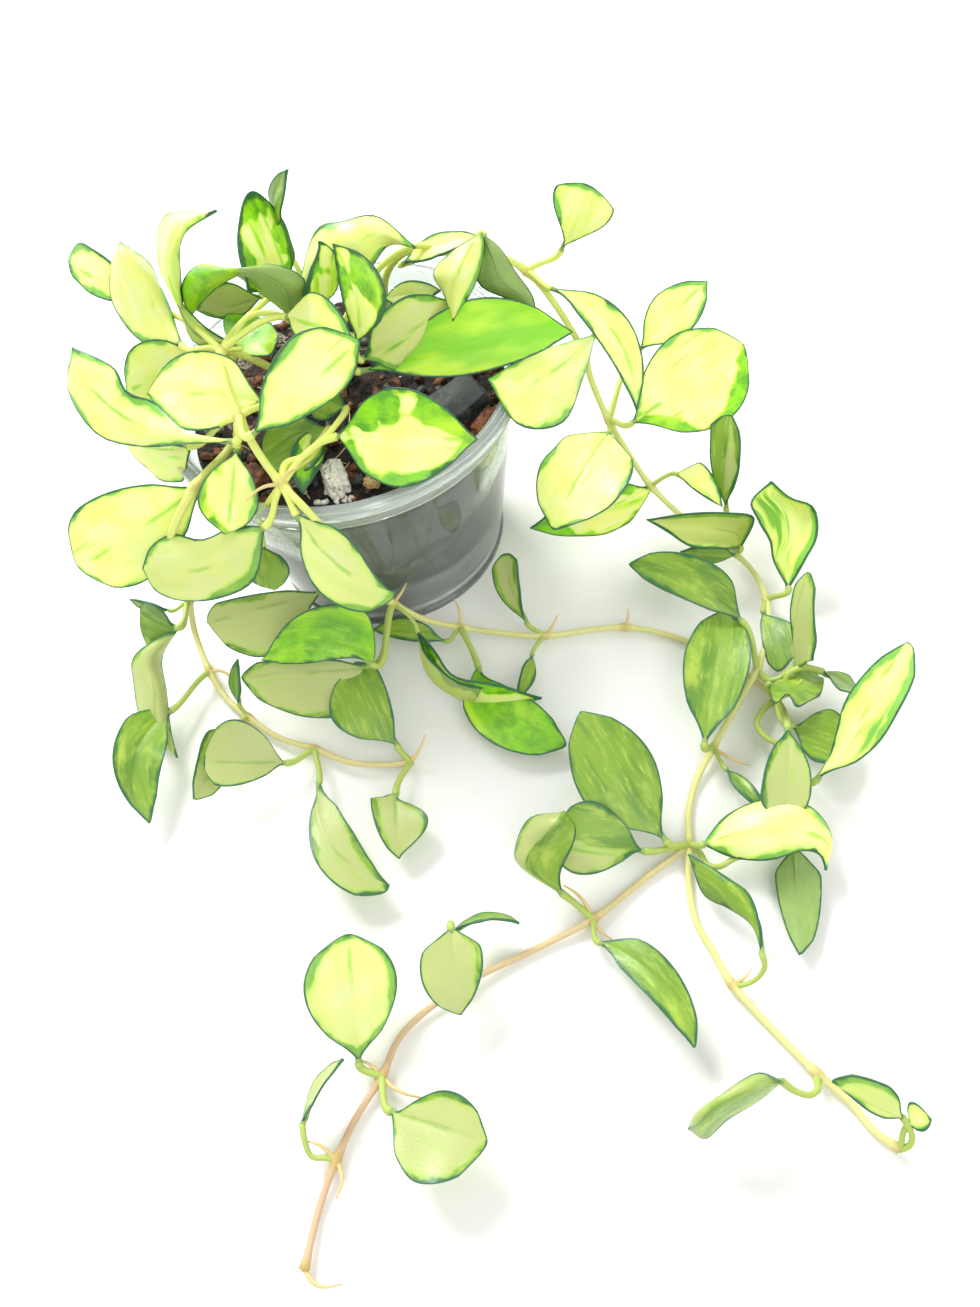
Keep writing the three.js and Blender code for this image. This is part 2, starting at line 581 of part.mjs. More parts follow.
// Right vine: over the back right of the rim, down to the surface, and forked near its end
const rightKnots = {
  rim: [69, 31, 78],
  over: [82, 7, 58],
  fall: [87, -5, 36],
  low: [97, -24, 18],
  first: [119, -53, 6],
  second: [123, -75, 5],
  third: [110, -102, 7],
  fourth: [88, -124, 4],
  fork: [71, -153, 3],
  leftFirst: [37, -168, 3],
  leftSecond: [-5, -178, 3],
  leftThird: [-31, -197, 3],
  leftFourth: [-46, -215, 3],
  leftEnd: [-57, -238, 3],
  lowFirst: [70, -195, 3],
  lowSecond: [83, -222, 3],
  lowEnd: [95, -240, 3],
};
const rightStem = {
  knots: rightKnots,
  runs: [
    [
      ...rooted(19, 36),
      [22, 33, 88],
      [30, 28, 98],
      [41, 26, 99],
      [57, 27, 91],
      rightKnots.rim,
      [75, 21, 72],
      rightKnots.over,
      [83, 2, 50],
      rightKnots.fall,
      [92, -15, 26],
      rightKnots.low,
      [107, -39, 11],
      rightKnots.first,
      [123, -63, 5],
      rightKnots.second,
      [119, -87, 5.5],
      rightKnots.third,
      [102, -110, 6],
      rightKnots.fourth,
      [79, -134, 1.8],
      [74, -143, 1.8],
      rightKnots.fork,
      [68, -162, 1.8],
      [66, -175, 1.8],
      [68, -185, 1.8],
      rightKnots.lowFirst,
      [77, -209, 1.8],
      rightKnots.lowSecond,
      [89, -231, 1.8],
      rightKnots.lowEnd,
    ],
    [
      rightKnots.fork,
      [54, -160, 1.8],
      rightKnots.leftFirst,
      [20, -172, 1.8],
      rightKnots.leftSecond,
      [-24, -187, 1.8],
      rightKnots.leftThird,
      [-40, -206, 1.8],
      rightKnots.leftFourth,
      [-52, -225, 1.8],
      rightKnots.leftEnd,
    ],
  ],
  leaves: [
    { at: "rim", base: [81, 30, 84], tip: [93, 30, 104], wide: 27, roll: -60, ...fanShaped },
    { at: "rim", base: [75, 21, 76], tip: [93, -20, 54], wide: 17, roll: -20, lean: -0.16 },
    { at: "fall", base: [93, -13, 40], tip: [140, 4, 50], wide: 33, roll: -35, full: 0.55, blunt: 0.6 },
    { at: "over", base: [80, -21, 80], tip: [44, -33, 92], wide: 34, roll: 35, full: 0.45 },
    { at: "fall", base: [103, 12, 44], tip: [134, 30, 56], wide: 21, roll: -25 },
    { at: "fall", base: [86, -13, 38], tip: [54, -51, 40], wide: 31, roll: 25, slim: 0.7, blunt: 0.7 },
    { at: "low", base: [97, -24, 20], tip: [50, -35, 24], wide: 20, roll: 75 },
    { at: "low", base: [106, -27, 24], tip: [115, -45, 24], wide: 12, roll: -35 },
    { at: "first", base: [119, -42, 18], tip: [125, -25, 44], wide: 13, roll: 30 },
    { at: "first", base: [117, -51, 12], tip: [89, -44, 26], wide: 22, roll: 75 },
    { at: "first", base: [120, -58, 10], tip: [104, -52, 14], wide: 12, roll: 80 },
    { at: "second", base: [130, -75, 8], tip: [133, -46, 30], wide: 22, roll: 15, lean: 0.06, ...roundTipped },
    { at: "second", base: [120, -79, 6], tip: [121, -104, 6], wide: 15, roll: -20 },
    { at: "third", base: [120, -106, 12], tip: [131, -88, 32], wide: 15, roll: 50 },
    { at: "third", base: [110, -88, 16], tip: [80, -59, 22], wide: 17, roll: 35 },
    { at: "third", base: [125, -111, 14], tip: [134, -121, 10], wide: 9, roll: 20 },
    { at: "fourth", base: [85, -123, 8], tip: [105, -80, 12], wide: 25, roll: 0 },
    { at: "fourth", base: [88, -132, 6], tip: [95, -152, 12], wide: 10, roll: 0 },
    { at: "fork", base: [64, -153, 8], tip: [49, -111, 24], wide: 26, roll: 15, full: 0.6, blunt: 0.65 },
    { at: "fork", base: [57, -153, 7], tip: [31, -146, 16], wide: 20, roll: 20 },
    { at: "fork", base: [75, -156, 9], tip: [107, -170, 12], wide: 19, roll: -10, arch: 0.2, lean: -0.12 },
    { at: "fork", base: [88, -161, 9], tip: [90, -191, 5], wide: 17, roll: 170 },
    { at: "leftFirst", base: [34, -165, 7], tip: [30, -143, 28], wide: 20, roll: 25, cup: 40 },
    { at: "leftFirst", base: [37, -176, 6], tip: [55, -209, 10], wide: 16, roll: -10, lean: -0.06 },
    { at: "leftSecond", base: [-4, -167, 18], tip: [-5, -188, 12], wide: 20, roll: 5 },
    { at: "leftSecond", base: [-4, -165, 12], tip: [15, -166, 12], wide: 8, roll: 50 },
    { at: "leftThird", base: [-36, -193, 7], tip: [-32, -161, 20], wide: 27, roll: -15, ...roundTipped },
    { at: "leftThird", base: [-28, -207, 7], tip: [-4, -224, 14], wide: 25, roll: 0, slim: 0.7, blunt: 0.55 },
    { at: "leftFourth", base: [-54, -211, 8], tip: [-39, -193, 16], wide: 12, roll: 50 },
    { at: "lowFirst", base: [79, -186, 14], tip: [69, -161, 9], wide: 15, roll: 60 },
    { at: "lowSecond", base: [72, -223, 13], tip: [47, -229, 7], wide: 20, roll: 65 },
    { at: "lowEnd", base: [100, -236, 10], tip: [84, -228, 16], wide: 16, roll: 40 },
    { at: "lowEnd", base: [99, -239, 8], tip: [105, -239, 12], wide: 9, roll: -5 },
  ],
  airRoots: [
    { at: "fourth", to: [97, -133, 4] },
    { at: "leftFirst", to: [31, -157, 6] },
    { at: "leftFirst", to: [41, -175, 2] },
    { at: "leftThird", to: [-20, -205, 3] },
    { at: "leftEnd", to: [-48, -243, 2] },
  ],
};

// Crown shoots: the short upright growth in the middle and right of the pot
const crownKnots = {
  left: [-3, 16, 104],
  middle: [8, -6, 96],
  right: [47, 12, 104],
};
const crownStem = {
  knots: crownKnots,
  runs: [
    [...rooted(2, 14), [0, 16, 92], crownKnots.left],
    [[2, 14, 80], [8, 2, 90], crownKnots.middle],
    [[2, 14, 84], [16, 18, 98], [32, 18, 106], crownKnots.right],
  ],
  leaves: [
    { at: "left", base: [-11, 17, 106], tip: [-11, 20, 135], wide: 17, roll: -20, slim: 0.7 },
    { at: "left", base: [-8, 20, 118], tip: [3, 13, 143], wide: 10, roll: -80 },
    { at: "left", base: [5, 7, 103], tip: [33, 5, 114], wide: 22, roll: -50, lean: -0.2 },
    { at: "middle", base: [4, 1, 106], tip: [6, 4, 124], wide: 11, roll: -75 },
    { at: "middle", base: [10, -17, 101], tip: [10, -2, 126], wide: 15, roll: 5, lean: 0.12, cup: -14 },
    { at: "middle", base: [9, -11, 92], tip: [39, -1, 98], wide: 24, roll: -80 },
    { at: "middle", base: [7, -10, 87], tip: [73, -10, 84], wide: 24, roll: -50, arch: 0.03 },
    { at: "middle", base: [21, 19, 94], tip: [38, 13, 94], wide: 10, roll: -35 },
    { at: "right", base: [52, 10, 109], tip: [39, -8, 97], wide: 17, roll: 50 },
    { at: "right", base: [54, 8, 108], tip: [66, -1, 84], wide: 20, roll: 140 },
    { at: "right", base: [29, 20, 99], tip: [52, 9, 110], wide: 12, roll: -25 },
  ],
};

const stems = [
  { name: "vine_front", plan: frontStem, material: frontGreen },
  { name: "vine_left", plan: leftStem, material: leftGreen },
  { name: "vine_right", plan: rightStem, material: rightGreen },
  { name: "crown_shoots", plan: crownStem, material: crownGreen },
];

const hoya = new THREE.Group();
hoya.add(meshFrom(potSolid(), "pot", clearPlastic));
hoya.add(meshFrom(mixSolid(stems.map((stem) => stem.plan.runs[0][0])), "potting_mix", darkMix));
for (const piece of loosePieces) {
  hoya.add(meshFrom(lump(piece.size, piece.at, piece.turn, piece.seed), piece.name, piece.look));
}
for (const { name, plan, material } of stems) hoya.add(meshFrom(leafyStem(plan), name, material));

export default hoya;
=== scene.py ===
import math
import random

import bpy
from mathutils import Euler, Matrix, Vector
from mathutils import noise as bumps


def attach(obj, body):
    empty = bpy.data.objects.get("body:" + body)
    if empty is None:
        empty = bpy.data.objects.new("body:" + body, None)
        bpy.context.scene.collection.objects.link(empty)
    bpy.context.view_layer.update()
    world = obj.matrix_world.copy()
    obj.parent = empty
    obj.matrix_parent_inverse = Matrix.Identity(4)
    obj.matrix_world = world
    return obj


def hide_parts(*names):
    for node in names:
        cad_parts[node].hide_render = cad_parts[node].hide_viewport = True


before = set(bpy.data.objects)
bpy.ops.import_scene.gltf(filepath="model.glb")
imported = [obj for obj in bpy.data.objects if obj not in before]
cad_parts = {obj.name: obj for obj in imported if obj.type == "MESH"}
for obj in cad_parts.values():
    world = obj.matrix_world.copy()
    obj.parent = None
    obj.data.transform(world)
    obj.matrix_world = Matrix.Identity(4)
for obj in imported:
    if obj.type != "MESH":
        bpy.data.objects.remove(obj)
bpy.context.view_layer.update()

MM = 0.001
UP = Vector((0, 0, 1))

# The camera, fitted to the pot's rim and foot
PHOTO_WIDE = 980
FOCAL_PIXELS = 977
SENSOR_WIDE = 36
CAMERA_AT = (26, -257, 289)
CAMERA_DOWN = math.radians(56.6)
CAMERA_ROLL = math.radians(-13.6)

# The pot
POT_HIGH = 79
FOOT_RADIUS = 44
FOOT_BAND = 3
FOOT_INSET = 0.6
WALL_TOP_RADIUS = 56
RIM_RADIUS = 60
RIM_INNER_RADIUS = 54.5
RIM_DEEP = 9
# How far each ring of the rim lies in from its edge and down from its top
RIM_RINGS = ((0, 2.6), (0.3, 1.1), (1.1, 0.5), (1.8, 0.9), (2.4, 0.3), (3.3, 0), (4, 0.6))
WALL_THICK = 1.2
FLOOR_THICK = 2
FLOOR_ROUND = 1.5
SKIRT_AT = POT_HIGH - RIM_DEEP
INNER_FOOT_RADIUS = FOOT_RADIUS - WALL_THICK - FOOT_INSET
POT_STEPS = 128
PLASTIC_IOR = 1.46
SMOOTH_UP_TO = math.radians(40)

# The mix and what lies on it
MIX_GAP = 0.3
MIX_TOP = 69
MIX_RINGS = 44
MIX_SIDES = 144
MIX_SIDE_RINGS = 15
MIX_FRONT = (0.25, -0.97, 0)
MIX_FOOT_HIGH = 4
# How often the top of the mix bulges, how high, and where in the noise
MIX_LUMPS = ((0.11, 1.3, 1.7), (0.4, 0.9, 5.1))
MIX_SEED = 7
BITS_SEED = 23
FIBRES_SEED = 41
LUMP_CUTS = 22
BIT_CUTS = 1
FIBRES = 18
FIBRES_WITHIN = 44
FIBRE_POINTS = 8
FIBRE_SIDES = 5
FIBRE_RADIUS = 0.16
ROOTED_TO = 46

# The plant
STEM_RADIUS = 1.35
STEM_END_RADIUS = 1.0
STEM_THINNING = 0.0016
STEM_SIDES = 12
STEM_STEP = 1.4
KNOT_SWELL = 1.55
KNOT_REACH = 2.108
KNOT_RING_AT = 2.6
KNOT_RING_WIDE = 0.7
KNOT_RING_HIGH = 0.1
PETIOLE_RADIUS = 1.1
PETIOLE_STEPS = 14
PETIOLE_SIDES = 10
PETIOLE_RISE = 0.35
PETIOLE_WAIST = 0.25
PETIOLE_ENDS = 1.15
PETIOLE_LEAST = 0.55
PETIOLE_GAIN = 0.025
PETIOLE_SETS_OUT = 0.4
PETIOLE_ARRIVES = 0.35
RIB_STEPS = 14
RIB_ENDS_AT = 0.7
RIB_SHARE = 0.9
RIB_END_RADIUS = 0.1
LEAF_THICK = 1.0
LEAF_EDGE_THICK = 0.5
LEAF_STATIONS = 28
LAST_STATION_AT = 0.9985
HALF_RIBS = (0, 0.05, 0.13, 0.28, 0.46, 0.64, 0.8, 0.92, 0.98, 1)
RIBS = [-v for v in reversed(HALF_RIBS[1:])] + list(HALF_RIBS)
GROOVE_DEEP = 0.4
GROOVE_WIDE = 0.9
GROOVE_FULL_FROM = 4
NECK_SHARE = 0.35
NECK_LONG = 0.22
POINT_FROM = 0.86
POINT_NARROWS = 0.35
CURL_FROM = 0.6
FOLD_AT_ENDS = 1.3
FOLD_LOST = 0.45
RIPPLES = 23
RIPPLE_SHARE = 0.25
END_GAP = 0.04
LOOK_AROUND = 0.02
ROLL_FROM = 0.45
HOOK_FROM = 0.62
SECTION_STEPS = 60
PATTERN_APART = 37.0
SIDE_BLEND = 6
ROOT_STEPS = 8
ROOT_SIDES = 7
ROOT_RADIUS = 0.2
ROOT_FLARE = 0.5
ROOT_LIFT = 0.1
# For the stem skin: how much knot, age and root it is, and 1 on a stem, 0.5 on a petiole, 0 on a rib
PETIOLE_STATE = (0, 0.05, 0, 0.5)
RIB_STATE = (0, 0.05, 0, 0)
ROOT_STATE = (0.2, 0.8, 1, 1)
FIBRE_STATE = (0.6, 1, 1, 1)

# The floor and the light
FLOOR_WIDE = 8
DAYLIGHT = 0.82
LAMP_AIM = (0.03, -0.08, 0.03)
# Each lamp's place and size in metres, and its power in watts
LAMPS = [
    ("window light", (-0.5, 1.3, 1.4), 1.0, 46),
    ("room light", (0.6, -1.4, 1.6), 1.8, 17),
]


def clear_selection():
    bpy.ops.object.select_all(action="DESELECT")
    bpy.context.view_layer.objects.active = None


def new_object(name, data):
    made = bpy.data.objects.new(name, data)
    bpy.context.scene.collection.objects.link(made)
    return made


def new_piece(name, places, faces, looks, face_looks=None):
    """A mesh piece from places in millimetres, with its materials."""
    mesh = bpy.data.meshes.new(name)
    mesh.from_pydata([place * MM for place in places], [], faces)
    for look in looks:
        mesh.materials.append(look)
    if face_looks:
        mesh.polygons.foreach_set("material_index", face_looks)
    mesh.polygons.foreach_set("use_smooth", [True] * len(mesh.polygons))
    mesh.validate()
    mesh.update()
    return new_object(name, mesh)


def skin_rings(faces, first, count, rings, start, end):
    """Faces between rings of points, and two fans to the points start and end that close the form."""
    for i in range(rings - 1):
        near, far = first + i * count, first + (i + 1) * count
        for j in range(count):
            k = (j + 1) % count
            faces.append((near + j, near + k, far + k, far + j))
    last = first + (rings - 1) * count
    for j in range(count):
        k = (j + 1) % count
        faces.append((start, first + k, first + j))
        faces.append((end, last + j, last + k))


def write_numbers(piece, name, kind, values):
    """One value for each vertex, which the materials read by its name."""
    made = piece.data.attributes.new(name, kind, "POINT")
    field = {"FLOAT": "value", "FLOAT_VECTOR": "vector", "FLOAT_COLOR": "color"}[kind]
    flat = values if kind == "FLOAT" else [number for value in values for number in value]
    made.data.foreach_set(field, flat)


# Shader helpers
def new_look(name):
    look = bpy.data.materials.new(name)
    look.use_nodes = True
    tree = look.node_tree
    return look, tree, tree.nodes["Principled BSDF"]


def feed(tree, made, feeds):
    """A link into each named input where its value is another node's output, else the value itself."""
    for name, value in feeds.items():
        socket = made.inputs[name]
        if isinstance(value, bpy.types.NodeSocket):
            tree.links.new(value, socket)
        else:
            socket.default_value = value


def node(tree, kind, feeds=None, **settings):
    made = tree.nodes.new(kind)
    for name, value in settings.items():
        setattr(made, name, value)
    feed(tree, made, feeds or {})
    return made


def read(tree, name, output="Fac"):
    return node(tree, "ShaderNodeAttribute", attribute_name=name).outputs[output]


def sums(tree, kind, a, b=0.0, c=0.0):
    return node(tree, "ShaderNodeMath", {0: a, 1: b, 2: c}, operation=kind).outputs[0]


def ramp(tree, value, low, high, start=0.0, end=1.0):
    """A smooth step from start to end as value goes from low to high."""
    feeds = {"Value": value, "From Min": low, "From Max": high, "To Min": start, "To Max": end}
    return node(tree, "ShaderNodeMapRange", feeds, interpolation_type="SMOOTHSTEP").outputs[0]


def colour_mix(tree, share, a, b):
    return node(tree, "ShaderNodeMix", {0: share, 6: a, 7: b}, data_type="RGBA").outputs[2]


def noise(tree, place, scale, detail=2.0, rough=0.5, stretch=(1, 1, 1)):
    turned = node(tree, "ShaderNodeMapping", {"Vector": place, "Scale": stretch}).outputs[0]
    feeds = {"Vector": turned, "Scale": scale, "Detail": detail, "Roughness": rough}
    return node(tree, "ShaderNodeTexNoise", feeds).outputs[0]


def bump(tree, height, strength, distance):
    feeds = {"Height": height, "Strength": strength, "Distance": distance}
    return node(tree, "ShaderNodeBump", feeds).outputs[0]


def tint(red, green, blue):
    """A colour in screen values from 0 to 255, as the shader's linear values."""
    return tuple((part / 255) ** 2.2 for part in (red, green, blue)) + (1.0,)


def coordinates(tree):
    return node(tree, "ShaderNodeTexCoord").outputs["Object"]


def channels(tree, colour):
    return node(tree, "ShaderNodeSeparateColor", {"Color": colour}).outputs


def axis(tree, place, name):
    return node(tree, "ShaderNodeSeparateXYZ", {"Vector": place}).outputs[name]


# Leaf looks: how far green streaks fill the blade, how broad its green margin is, how deep the green
# is, and how far the whole blade is mottled olive and darkened by painted shade. Soft is a cream blade
# in half painted shade, pale one in full painted shade, and mottled partly real mottle, partly shade.
LEAF_LOOKS = {
    "cream": (0.03, 0.3, 0.3, 0.0),
    "soft": (0.06, 0.32, 0.3, 0.5),
    "margined": (0.12, 0.7, 0.3, 0.0),
    "striped": (0.3, 1.2, 0.9, 0.0),
    "lime": (1.4, 0.8, 0.0, 0.0),
    "streaked": (0.4, 0.3, 0.1, 0.1),
    "grassy": (1.4, 0.8, 0.25, 0.3),
    "mottled": (1.4, 0.5, 0.4, 1.0),
    "pale": (0.05, 0.28, 0.4, 1.0),
}
MASKS = ("Lime", "Green", "Dark", "Bands", "Flecks", "Vein", "Edge")

CREAM = tint(242, 251, 138)
PALE_CREAM = tint(240, 249, 172)
# Cream in painted shade
SHADED_CREAM = tint(173, 184, 114)
LIME = tint(196, 240, 50)
SOFT_LIME = tint(206, 240, 106)
FRESH_GREEN = tint(136, 212, 14)
SOFT_GREEN = tint(128, 190, 78)
LEAF_GREEN = tint(88, 166, 34)
DEEP_GREEN = tint(46, 108, 44)
EDGE_GREEN = tint(42, 96, 66)
OLIVE = tint(126, 162, 50)
OLIVE_DEEP = tint(96, 138, 42)
OLIVE_PALE = tint(178, 200, 82)
# This and VEIN_OLIVE below are the margin lime and the vein in painted shade
SHADED_RIM = tint(160, 186, 92)
VEIN_LIME = tint(178, 228, 78)
VEIN_OLIVE = tint(148, 172, 88)
UNDER_OLIVE = tint(136, 164, 90)
UNDER_CREAM = tint(184, 206, 110)


def leaf_pattern():
    """The masks that a leaf's two faces share, from its blade map in millimetres."""
    group = bpy.data.node_groups.new("leaf variegation", "ShaderNodeTree")
    for name, kind in (
        ("Blade", "NodeSocketVector"),
        ("Margin", "NodeSocketFloat"),
        ("Look", "NodeSocketColor"),
    ):
        group.interface.new_socket(name, in_out="INPUT", socket_type=kind)
    for name in MASKS:
        group.interface.new_socket(name, in_out="OUTPUT", socket_type="NodeSocketFloat")
    inside = group.nodes.new("NodeGroupInput").outputs
    blade, margin = inside["Blade"], inside["Margin"]
    green_share, margin_share, dark_share = channels(group, inside["Look"])
    across = sums(group, "ABSOLUTE", axis(group, blade, "Y"))

    broad = noise(group, blade, 0.07, 2.0)
    fine = noise(group, blade, 0.3, 3.0, 0.6, (0.5, 1.3, 1))
    width = sums(group, "MULTIPLY", margin_share, ramp(group, broad, 0.38, 0.68, 0.5, 9.0))
    tear = sums(group, "MULTIPLY_ADD", margin_share, 2.4, 0.8)
    ragged = sums(group, "MULTIPLY_ADD", sums(group, "SUBTRACT", fine, 0.5), tear, width)
    depth = sums(group, "SUBTRACT", ragged, margin)
    long_streaks = noise(group, blade, 0.16, 2.5, 0.5, (0.2, 1.3, 1))
    bar = sums(group, "SUBTRACT", 0.72, sums(group, "MULTIPLY", green_share, 0.4))
    over = sums(group, "SUBTRACT", long_streaks, bar)
    green = sums(group, "MAXIMUM", ramp(group, depth, -0.35, 0.55), ramp(group, over, 0.0, 0.09))
    lime = sums(group, "MAXIMUM", ramp(group, depth, -1.5, 0.2), ramp(group, over, -0.07, 0.03))

    dusk = noise(group, blade, 0.14, 3.0, 0.6, (0.6, 1.2, 1))
    near_edge = ramp(group, margin, 0.1, 3.5, 0.34, 0.0)
    dark_bar = sums(group, "SUBTRACT", 0.86, sums(group, "MULTIPLY", dark_share, 0.32))
    dark = ramp(group, sums(group, "ADD", dusk, near_edge), dark_bar, sums(group, "ADD", dark_bar, 0.22))
    bands = ramp(group, noise(group, blade, 0.11, 2.0, 0.5, (0.35, 1.6, 1)), 0.42, 0.66)
    flecks = ramp(group, noise(group, blade, 0.5, 3.0, 0.6, (0.24, 1.3, 1)), 0.48, 0.78, 0.0, 0.75)
    clouds = ramp(group, noise(group, blade, 0.13, 3.0, 0.6, (0.6, 1, 1)), 0.52, 0.74, 0.0, 0.7)
    flecks = sums(group, "MAXIMUM", flecks, clouds)
    some = ramp(group, noise(group, blade, 0.045, 1.0), 0.46, 0.54)
    frayed = sums(group, "MULTIPLY_ADD", fine, -2.0, sums(group, "ADD", across, 0.7))
    vein = sums(group, "MULTIPLY", ramp(group, frayed, -0.2, 0.6, 1.0, 0.0), some)
    vein = sums(group, "MULTIPLY", vein, ramp(group, margin, 2.5, 5.0))
    line = sums(group, "MULTIPLY_ADD", noise(group, blade, 0.5, 2.0), 0.6, 0.06)
    edge = ramp(group, margin, line, sums(group, "ADD", line, 0.4), 1.0, 0.0)
    made = (lime, green, dark, bands, flecks, vein, edge)
    feed(group, group.nodes.new("NodeGroupOutput"), dict(zip(MASKS, made)))
    return group


def leaf_masks(tree, group):
    made = node(tree, "ShaderNodeGroup", node_tree=group)
    look = read(tree, "leaf_look", "Color")
    feed(tree, made, {"Blade": read(tree, "blade", "Vector"), "Margin": read(tree, "margin"), "Look": look})
    return made.outputs


def leaf_skin(tree, shader, blade, face, rough, relief):
    """What both faces of a blade share. Soft light passes through it."""
    skin = noise(tree, blade, 1.6, 4.0, 0.6, (0.6, 1, 1))
    waxy = ramp(tree, noise(tree, blade, 0.8, 3.0), 0.3, 0.7, *rough)
    feed(tree, shader, {"Base Color": face, "Roughness": waxy, "Normal": bump(tree, skin, relief, 0.0004)})
    through = {"Subsurface Weight": 0.3, "Subsurface Radius": (1.0, 1.0, 0.3), "Subsurface Scale": 0.002}
    feed(tree, shader, through)


def leaf_upper_look(group):
    look, tree, shader = new_look("hoya leaf upper face")
    masks = leaf_masks(tree, group)
    blade = read(tree, "blade", "Vector")
    # The leaf_look alpha is painted shade: it turns cream, margin lime and vein to their shaded copies and
    # the green to the olive mottle
    shade = read(tree, "leaf_look", "Alpha")
    cream = colour_mix(tree, ramp(tree, noise(tree, blade, 0.12, 3.0), 0.35, 0.7), CREAM, PALE_CREAM)
    cream = colour_mix(tree, sums(tree, "MULTIPLY", masks["Bands"], 0.38), cream, SOFT_LIME)
    cream = colour_mix(tree, shade, cream, SHADED_CREAM)
    traits = channels(tree, read(tree, "leaf_look", "Color"))
    leafy = ramp(tree, noise(tree, blade, 0.2, 3.0), 0.35, 0.68)
    leafy = sums(tree, "MULTIPLY", leafy, ramp(tree, traits[2], 0, 0.3))
    fresh = colour_mix(tree, leafy, FRESH_GREEN, LEAF_GREEN)
    patches = noise(tree, blade, 0.07, 2.0, 0.5, (0.5, 1.4, 1))
    fresh = colour_mix(tree, ramp(tree, patches, 0.46, 0.7), fresh, LIME)
    flecked = sums(tree, "MULTIPLY", masks["Flecks"], ramp(tree, traits[2], 0.0, 0.5, 0.0, 0.9))
    fresh = colour_mix(tree, flecked, fresh, LIME)
    thin = ramp(tree, traits[1], 0.35, 0.65, 1.0, 0.0)
    fresh = colour_mix(tree, thin, fresh, SOFT_GREEN)
    olive = colour_mix(tree, masks["Bands"], OLIVE, OLIVE_DEEP)
    green = colour_mix(tree, shade, fresh, colour_mix(tree, masks["Flecks"], olive, OLIVE_PALE))
    green = colour_mix(tree, masks["Dark"], green, DEEP_GREEN)
    lime = colour_mix(tree, thin, LIME, SOFT_LIME)
    lime = colour_mix(tree, shade, lime, SHADED_RIM)
    face = colour_mix(tree, masks["Lime"], cream, lime)
    face = colour_mix(tree, masks["Vein"], face, colour_mix(tree, shade, VEIN_LIME, VEIN_OLIVE))
    face = colour_mix(tree, masks["Green"], face, green)
    face = colour_mix(tree, masks["Edge"], face, EDGE_GREEN)
    leaf_skin(tree, shader, blade, face, (0.36, 0.52), 0.25)
    feed(tree, shader, {"Coat Weight": 0.15, "Coat Roughness": 0.25})
    return look


def leaf_under_look(group):
    look, tree, shader = new_look("hoya leaf underside")
    masks = leaf_masks(tree, group)
    blade = read(tree, "blade", "Vector")
    olive = colour_mix(tree, sums(tree, "MULTIPLY", masks["Flecks"], 0.35), UNDER_OLIVE, OLIVE_PALE)
    cream = colour_mix(tree, ramp(tree, noise(tree, blade, 0.12, 3.0), 0.35, 0.7), UNDER_CREAM, OLIVE_PALE)
    face = colour_mix(tree, masks["Green"], cream, olive)
    face = colour_mix(tree, masks["Edge"], face, EDGE_GREEN)
    leaf_skin(tree, shader, blade, face, (0.5, 0.66), 0.3)
    return look


STEM_GREEN = tint(224, 236, 118)
LOW_STEM = tint(222, 226, 142)
LOW_PETIOLE = tint(170, 192, 94)
STEM_TAN = tint(204, 174, 140)
KNOT_TAN = tint(194, 168, 104)
ROOT_TAN = tint(222, 194, 136)


def stem_look():
    """Skin of the stems: green to tan with age, and tan at the knots."""
    look, tree, shader = new_look("hoya stem skin")
    state = channels(tree, read(tree, "stem_state", "Color"))
    place = coordinates(tree)
    grain = noise(tree, place, 900, 3.0)
    aged = ramp(tree, sums(tree, "MULTIPLY_ADD", grain, 0.3, state[1]), 0.1, 1.0)
    height = axis(tree, place, "Z")
    part = read(tree, "stem_state", "Alpha")
    skin = colour_mix(tree, ramp(tree, part, 0.5, 1.0), LOW_PETIOLE, LOW_STEM)
    skin = colour_mix(tree, ramp(tree, height, 0.015, 0.075), skin, STEM_GREEN)
    skin = colour_mix(tree, aged, skin, STEM_TAN)
    worn = sums(tree, "MULTIPLY", state[0], sums(tree, "MULTIPLY_ADD", state[1], 0.8, 0.45))
    knot = ramp(tree, sums(tree, "MULTIPLY_ADD", grain, 0.4, worn), 0.35, 1.1)
    skin = colour_mix(tree, knot, skin, KNOT_TAN)
    skin = colour_mix(tree, state[2], skin, ROOT_TAN)
    skin = colour_mix(tree, ramp(tree, part, 0.0, 0.5), UNDER_OLIVE, skin)
    rough = ramp(tree, grain, 0.3, 0.7, 0.45, 0.65)
    relief = bump(tree, noise(tree, place, 1500, 4.0), 0.35, 0.0003)
    feed(tree, shader, {"Base Color": skin, "Roughness": rough, "Normal": relief})
    return look


# Leaves
def pair(value):
    """The same value for both sides of a blade, unless it has one for each, left before right."""
    return value if isinstance(value, tuple) else (value, value)


def rail_point(points, u):
    """A place along a smooth curve through the points, which are evenly spread from 0 to 1."""
    spans = len(points) - 1
    i = min(max(int(u * spans), 0), spans - 1)
    t = u * spans - i
    p1, p2 = points[i], points[i + 1]
    p0 = points[i - 1] if i else p1 * 2 - p2
    p3 = points[i + 2] if i + 2 <= spans else p2 * 2 - p1
    bend = (p0 * 2 - p1 * 5 + p2 * 4 - p3) * t * t + (p1 * 3 - p0 - p2 * 3 + p3) * t**3
    return (p1 * 2 + (p2 - p0) * t + bend) / 2


def railed_lines(leaf):
    """The midrib and the axes of a leaf whose left edge, midrib and right edge are given."""
    left, middle, right = leaf["rails"]
    long = sum((b - a).length for a, b in zip(middle, middle[1:]))

    def midrib(u):
        return rail_point(middle, u)

    def axes(u):
        u = min(max(u, END_GAP), 1 - END_GAP)
        heading = (midrib(u + LOOK_AROUND) - midrib(u - LOOK_AROUND)).normalized()
        across = rail_point(right, u) - rail_point(left, u)
        across = (across - heading * across.dot(heading)).normalized()
        return heading, across, across.cross(heading)

    return midrib, axes, long


